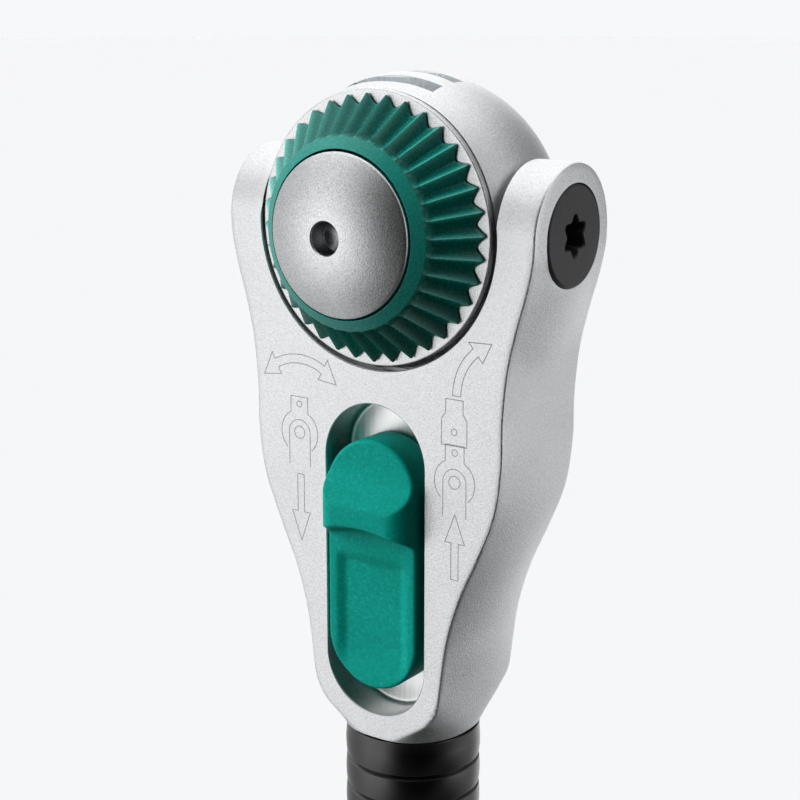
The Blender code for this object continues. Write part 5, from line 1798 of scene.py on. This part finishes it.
@dataclass
class Studio:
    """The floor, the soft light and the camera at the photograph's angle.

    The stage is in metres, the camera's distance in millimetres, and its focal length, centre and
    frame in pixels of the photograph. The sky is the product of the dims, plus the softbox: a dark
    gap at the front right, four weaker ones, a dimmer ground and a dimmer top.
    """

    floor_rings: tuple[float, ...] = (0.0, 0.4, 2.0, 40.0)
    floor_colour: Colour = (0.75, 0.75, 0.755)
    floor_roughness: float = 0.9
    wall_radius: float = 6.0
    wall_span: Span = (-0.1, 7.0)
    wall_colour: Colour = (0.93, 0.938, 0.95)
    stage_steps: int = 96
    azimuth: float = 35.006
    elevation: float = 13.957
    distance: float = 222.0
    focal: float = 1704.26
    centre: Span = (414.21, 220.84)
    frame: float = 800.0
    sensor: float = 36.0
    clip: Span = (0.01, 200.0)
    key: float = 3.2
    key_turn: float = 52.0
    key_rise: float = 26.0
    key_breadth: float = 50.0
    sky_colour: Colour = (0.985, 0.992, 1.0)
    dims: tuple[Lobe, ...] = (
        Lobe((0.62, -0.74, 0.25), (0.44, 0.80), (1.37, 0.05)),
        Lobe((0.5, 0.5, -0.7), (0.74, 0.98), (1.0, 0.44)),
        Lobe((0.30, 0.91, 0.28), (0.70, 0.96), (1.0, 0.2)),
        Lobe((-0.99, 0.10, -0.05), (0.6, 0.95), (1.0, 0.45)),
        Lobe((0.6, -0.45, -0.66), (0.38, 0.85), (1.0, 0.12)),
        Lobe((0.0, 0.0, 1.0), (-0.85, -0.15), (0.38, 1.0)),
        Lobe((0.0, 0.0, 1.0), (0.05, 0.5), (1.0, 0.6)))
    softbox: Lobe = Lobe((-0.42, 0.32, 0.85), (0.5, 0.9), (0.0, 0.5))

    def build(self) -> None:
        """Makes the floor, the wall, the lights and the camera."""
        self._floor()
        self._wall()
        self._sky()
        self._key()
        self._camera()
        bpy.context.scene.view_settings.view_transform = "Standard"

    def _floor(self) -> None:
        """Lays a wide disc of plain pale board."""
        floor = self._scenery("studio_floor", "pale_board", [(0.0, ring) for ring in self.floor_rings],
                              {"Base Color": (*self.floor_colour, 1.0), "Roughness": self.floor_roughness})

    def _wall(self) -> None:
        """Stands a plain pale wall round the stage, which only the camera sees."""
        wall = self._scenery("studio_wall", "pale_paper", [(end, self.wall_radius) for end in self.wall_span],
                             {"Base Color": (0.0, 0.0, 0.0, 1.0), "Emission Strength": 1.0,
                              "Emission Color": (*self.wall_colour, 1.0)})
        wall.visible_shadow = False

    def _scenery(self, name: str, cover: str, rings: list[Span], inputs: dict[str, Any]) -> bpy.types.Object:
        """Turns a piece of the stage about Z, without gloss; no light from it falls on the tool.

        Args:
            name: The object's name.
            cover: Its material's name.
            rings: Rows of (height, radius), in metres.
            inputs: Its shader's inputs by name.

        Returns:
            The object.
        """
        item = shaped(name, lathe(np.array(rings) / MM, Axis.Z, self.stage_steps), origin=STAND)
        matter = bpy.data.materials.new(cover)
        matter.use_nodes = True
        shader = matter.node_tree.nodes["Principled BSDF"]
        for socket, value in {"Specular IOR Level": 0.0, **inputs}.items():
            shader.inputs[socket].default_value = value
        item.data.materials.append(matter)
        item.visible_glossy = False
        item.visible_diffuse = False
        return item

    def _sky(self) -> None:
        """Lights all round: the product of the dims, plus the softbox above."""
        world = bpy.data.worlds.new("soft_studio")
        world.use_nodes = True
        bpy.context.scene.world = world
        tree = world.node_tree
        light = self._lobe(tree, self.dims[0])
        for lobe, how in (*((dim, "MULTIPLY") for dim in self.dims[1:]), (self.softbox, "ADD")):
            join = tree.nodes.new("ShaderNodeMath")
            join.operation = how
            tree.links.new(light, join.inputs[0])
            tree.links.new(self._lobe(tree, lobe), join.inputs[1])
            light = join.outputs[0]
        back = tree.nodes["Background"]
        back.inputs["Color"].default_value = (*self.sky_colour, 1.0)
        tree.links.new(light, back.inputs["Strength"])

    def _lobe(self, tree: Tree, lobe: Lobe) -> Socket:
        """Adds a soft change of level with the angle to a direction.

        Args:
            tree: The world's nodes.
            lobe: The change.

        Returns:
            The level's socket.
        """
        where = tree.nodes.new("ShaderNodeTexCoord")
        lean = tree.nodes.new("ShaderNodeVectorMath")
        lean.operation = "DOT_PRODUCT"
        lean.inputs[1].default_value = lobe.towards
        tree.links.new(where.outputs["Generated"], lean.inputs[0])
        change = tree.nodes.new("ShaderNodeMapRange")
        change.interpolation_type = "SMOOTHSTEP"
        set_range(change, (*lobe.reach, *lobe.level))
        tree.links.new(lean.outputs["Value"], change.inputs["Value"])
        return change.outputs[0]

    def _key(self) -> None:
        """Hangs a broad soft key light at the left front."""
        lamp = bpy.data.lights.new("key_light", "SUN")
        lamp.energy = self.key
        lamp.angle = math.radians(self.key_breadth)
        item = bpy.data.objects.new("key_light", lamp)
        item.rotation_euler = (math.radians(90.0 - self.key_rise), 0.0, math.radians(-self.key_turn))
        item.visible_glossy = False
        bpy.context.scene.collection.objects.link(item)

    def _camera(self) -> None:
        """Sets the camera so that the swivel centre falls on its measured pixel."""
        turn, rise = math.radians(self.azimuth), math.radians(self.elevation)
        back = np.array([math.sin(turn) * math.cos(rise), -math.cos(turn) * math.cos(rise), math.sin(rise)])
        right = np.array([math.cos(turn), math.sin(turn), 0.0])
        up = np.cross(back, right)
        scale = self.distance / self.focal
        aside = (self.centre[0] - self.frame / 2) * scale
        above = -(self.centre[1] - self.frame / 2) * scale
        place = (SWIVEL - aside * right - above * up + self.distance * back) * MM
        lens = bpy.data.cameras.new("photo_camera")
        lens.sensor_width = self.sensor
        lens.lens = self.focal / self.frame * self.sensor
        lens.clip_start, lens.clip_end = self.clip
        camera = bpy.data.objects.new("photo_camera", lens)
        matrix = np.eye(4)
        matrix[:3] = np.stack([right, up, back, place], axis=1)
        camera.matrix_world = Matrix(matrix.tolist())
        bpy.context.scene.collection.objects.link(camera)
        bpy.context.scene.camera = camera


def main() -> None:
    """Builds and dresses every sub-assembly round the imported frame, then the studio."""
    logging.basicConfig(level=logging.INFO, format="%(name)s: %(message)s")
    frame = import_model()
    InnerParts().dress(frame["nodes"])
    assemblies = (Yoke(), BallHead(), Thumbwheel(), PushButton(), SlideButtons(), PivotScrews(),
                  SquareDrive(), Sleeve(), Handle(), FrontMarks())
    for assembly in assemblies:
        for piece in assembly.build():
            piece.dress()
    Studio().build()
    bpy.context.view_layer.update()


if __name__ == "__main__":
    main()
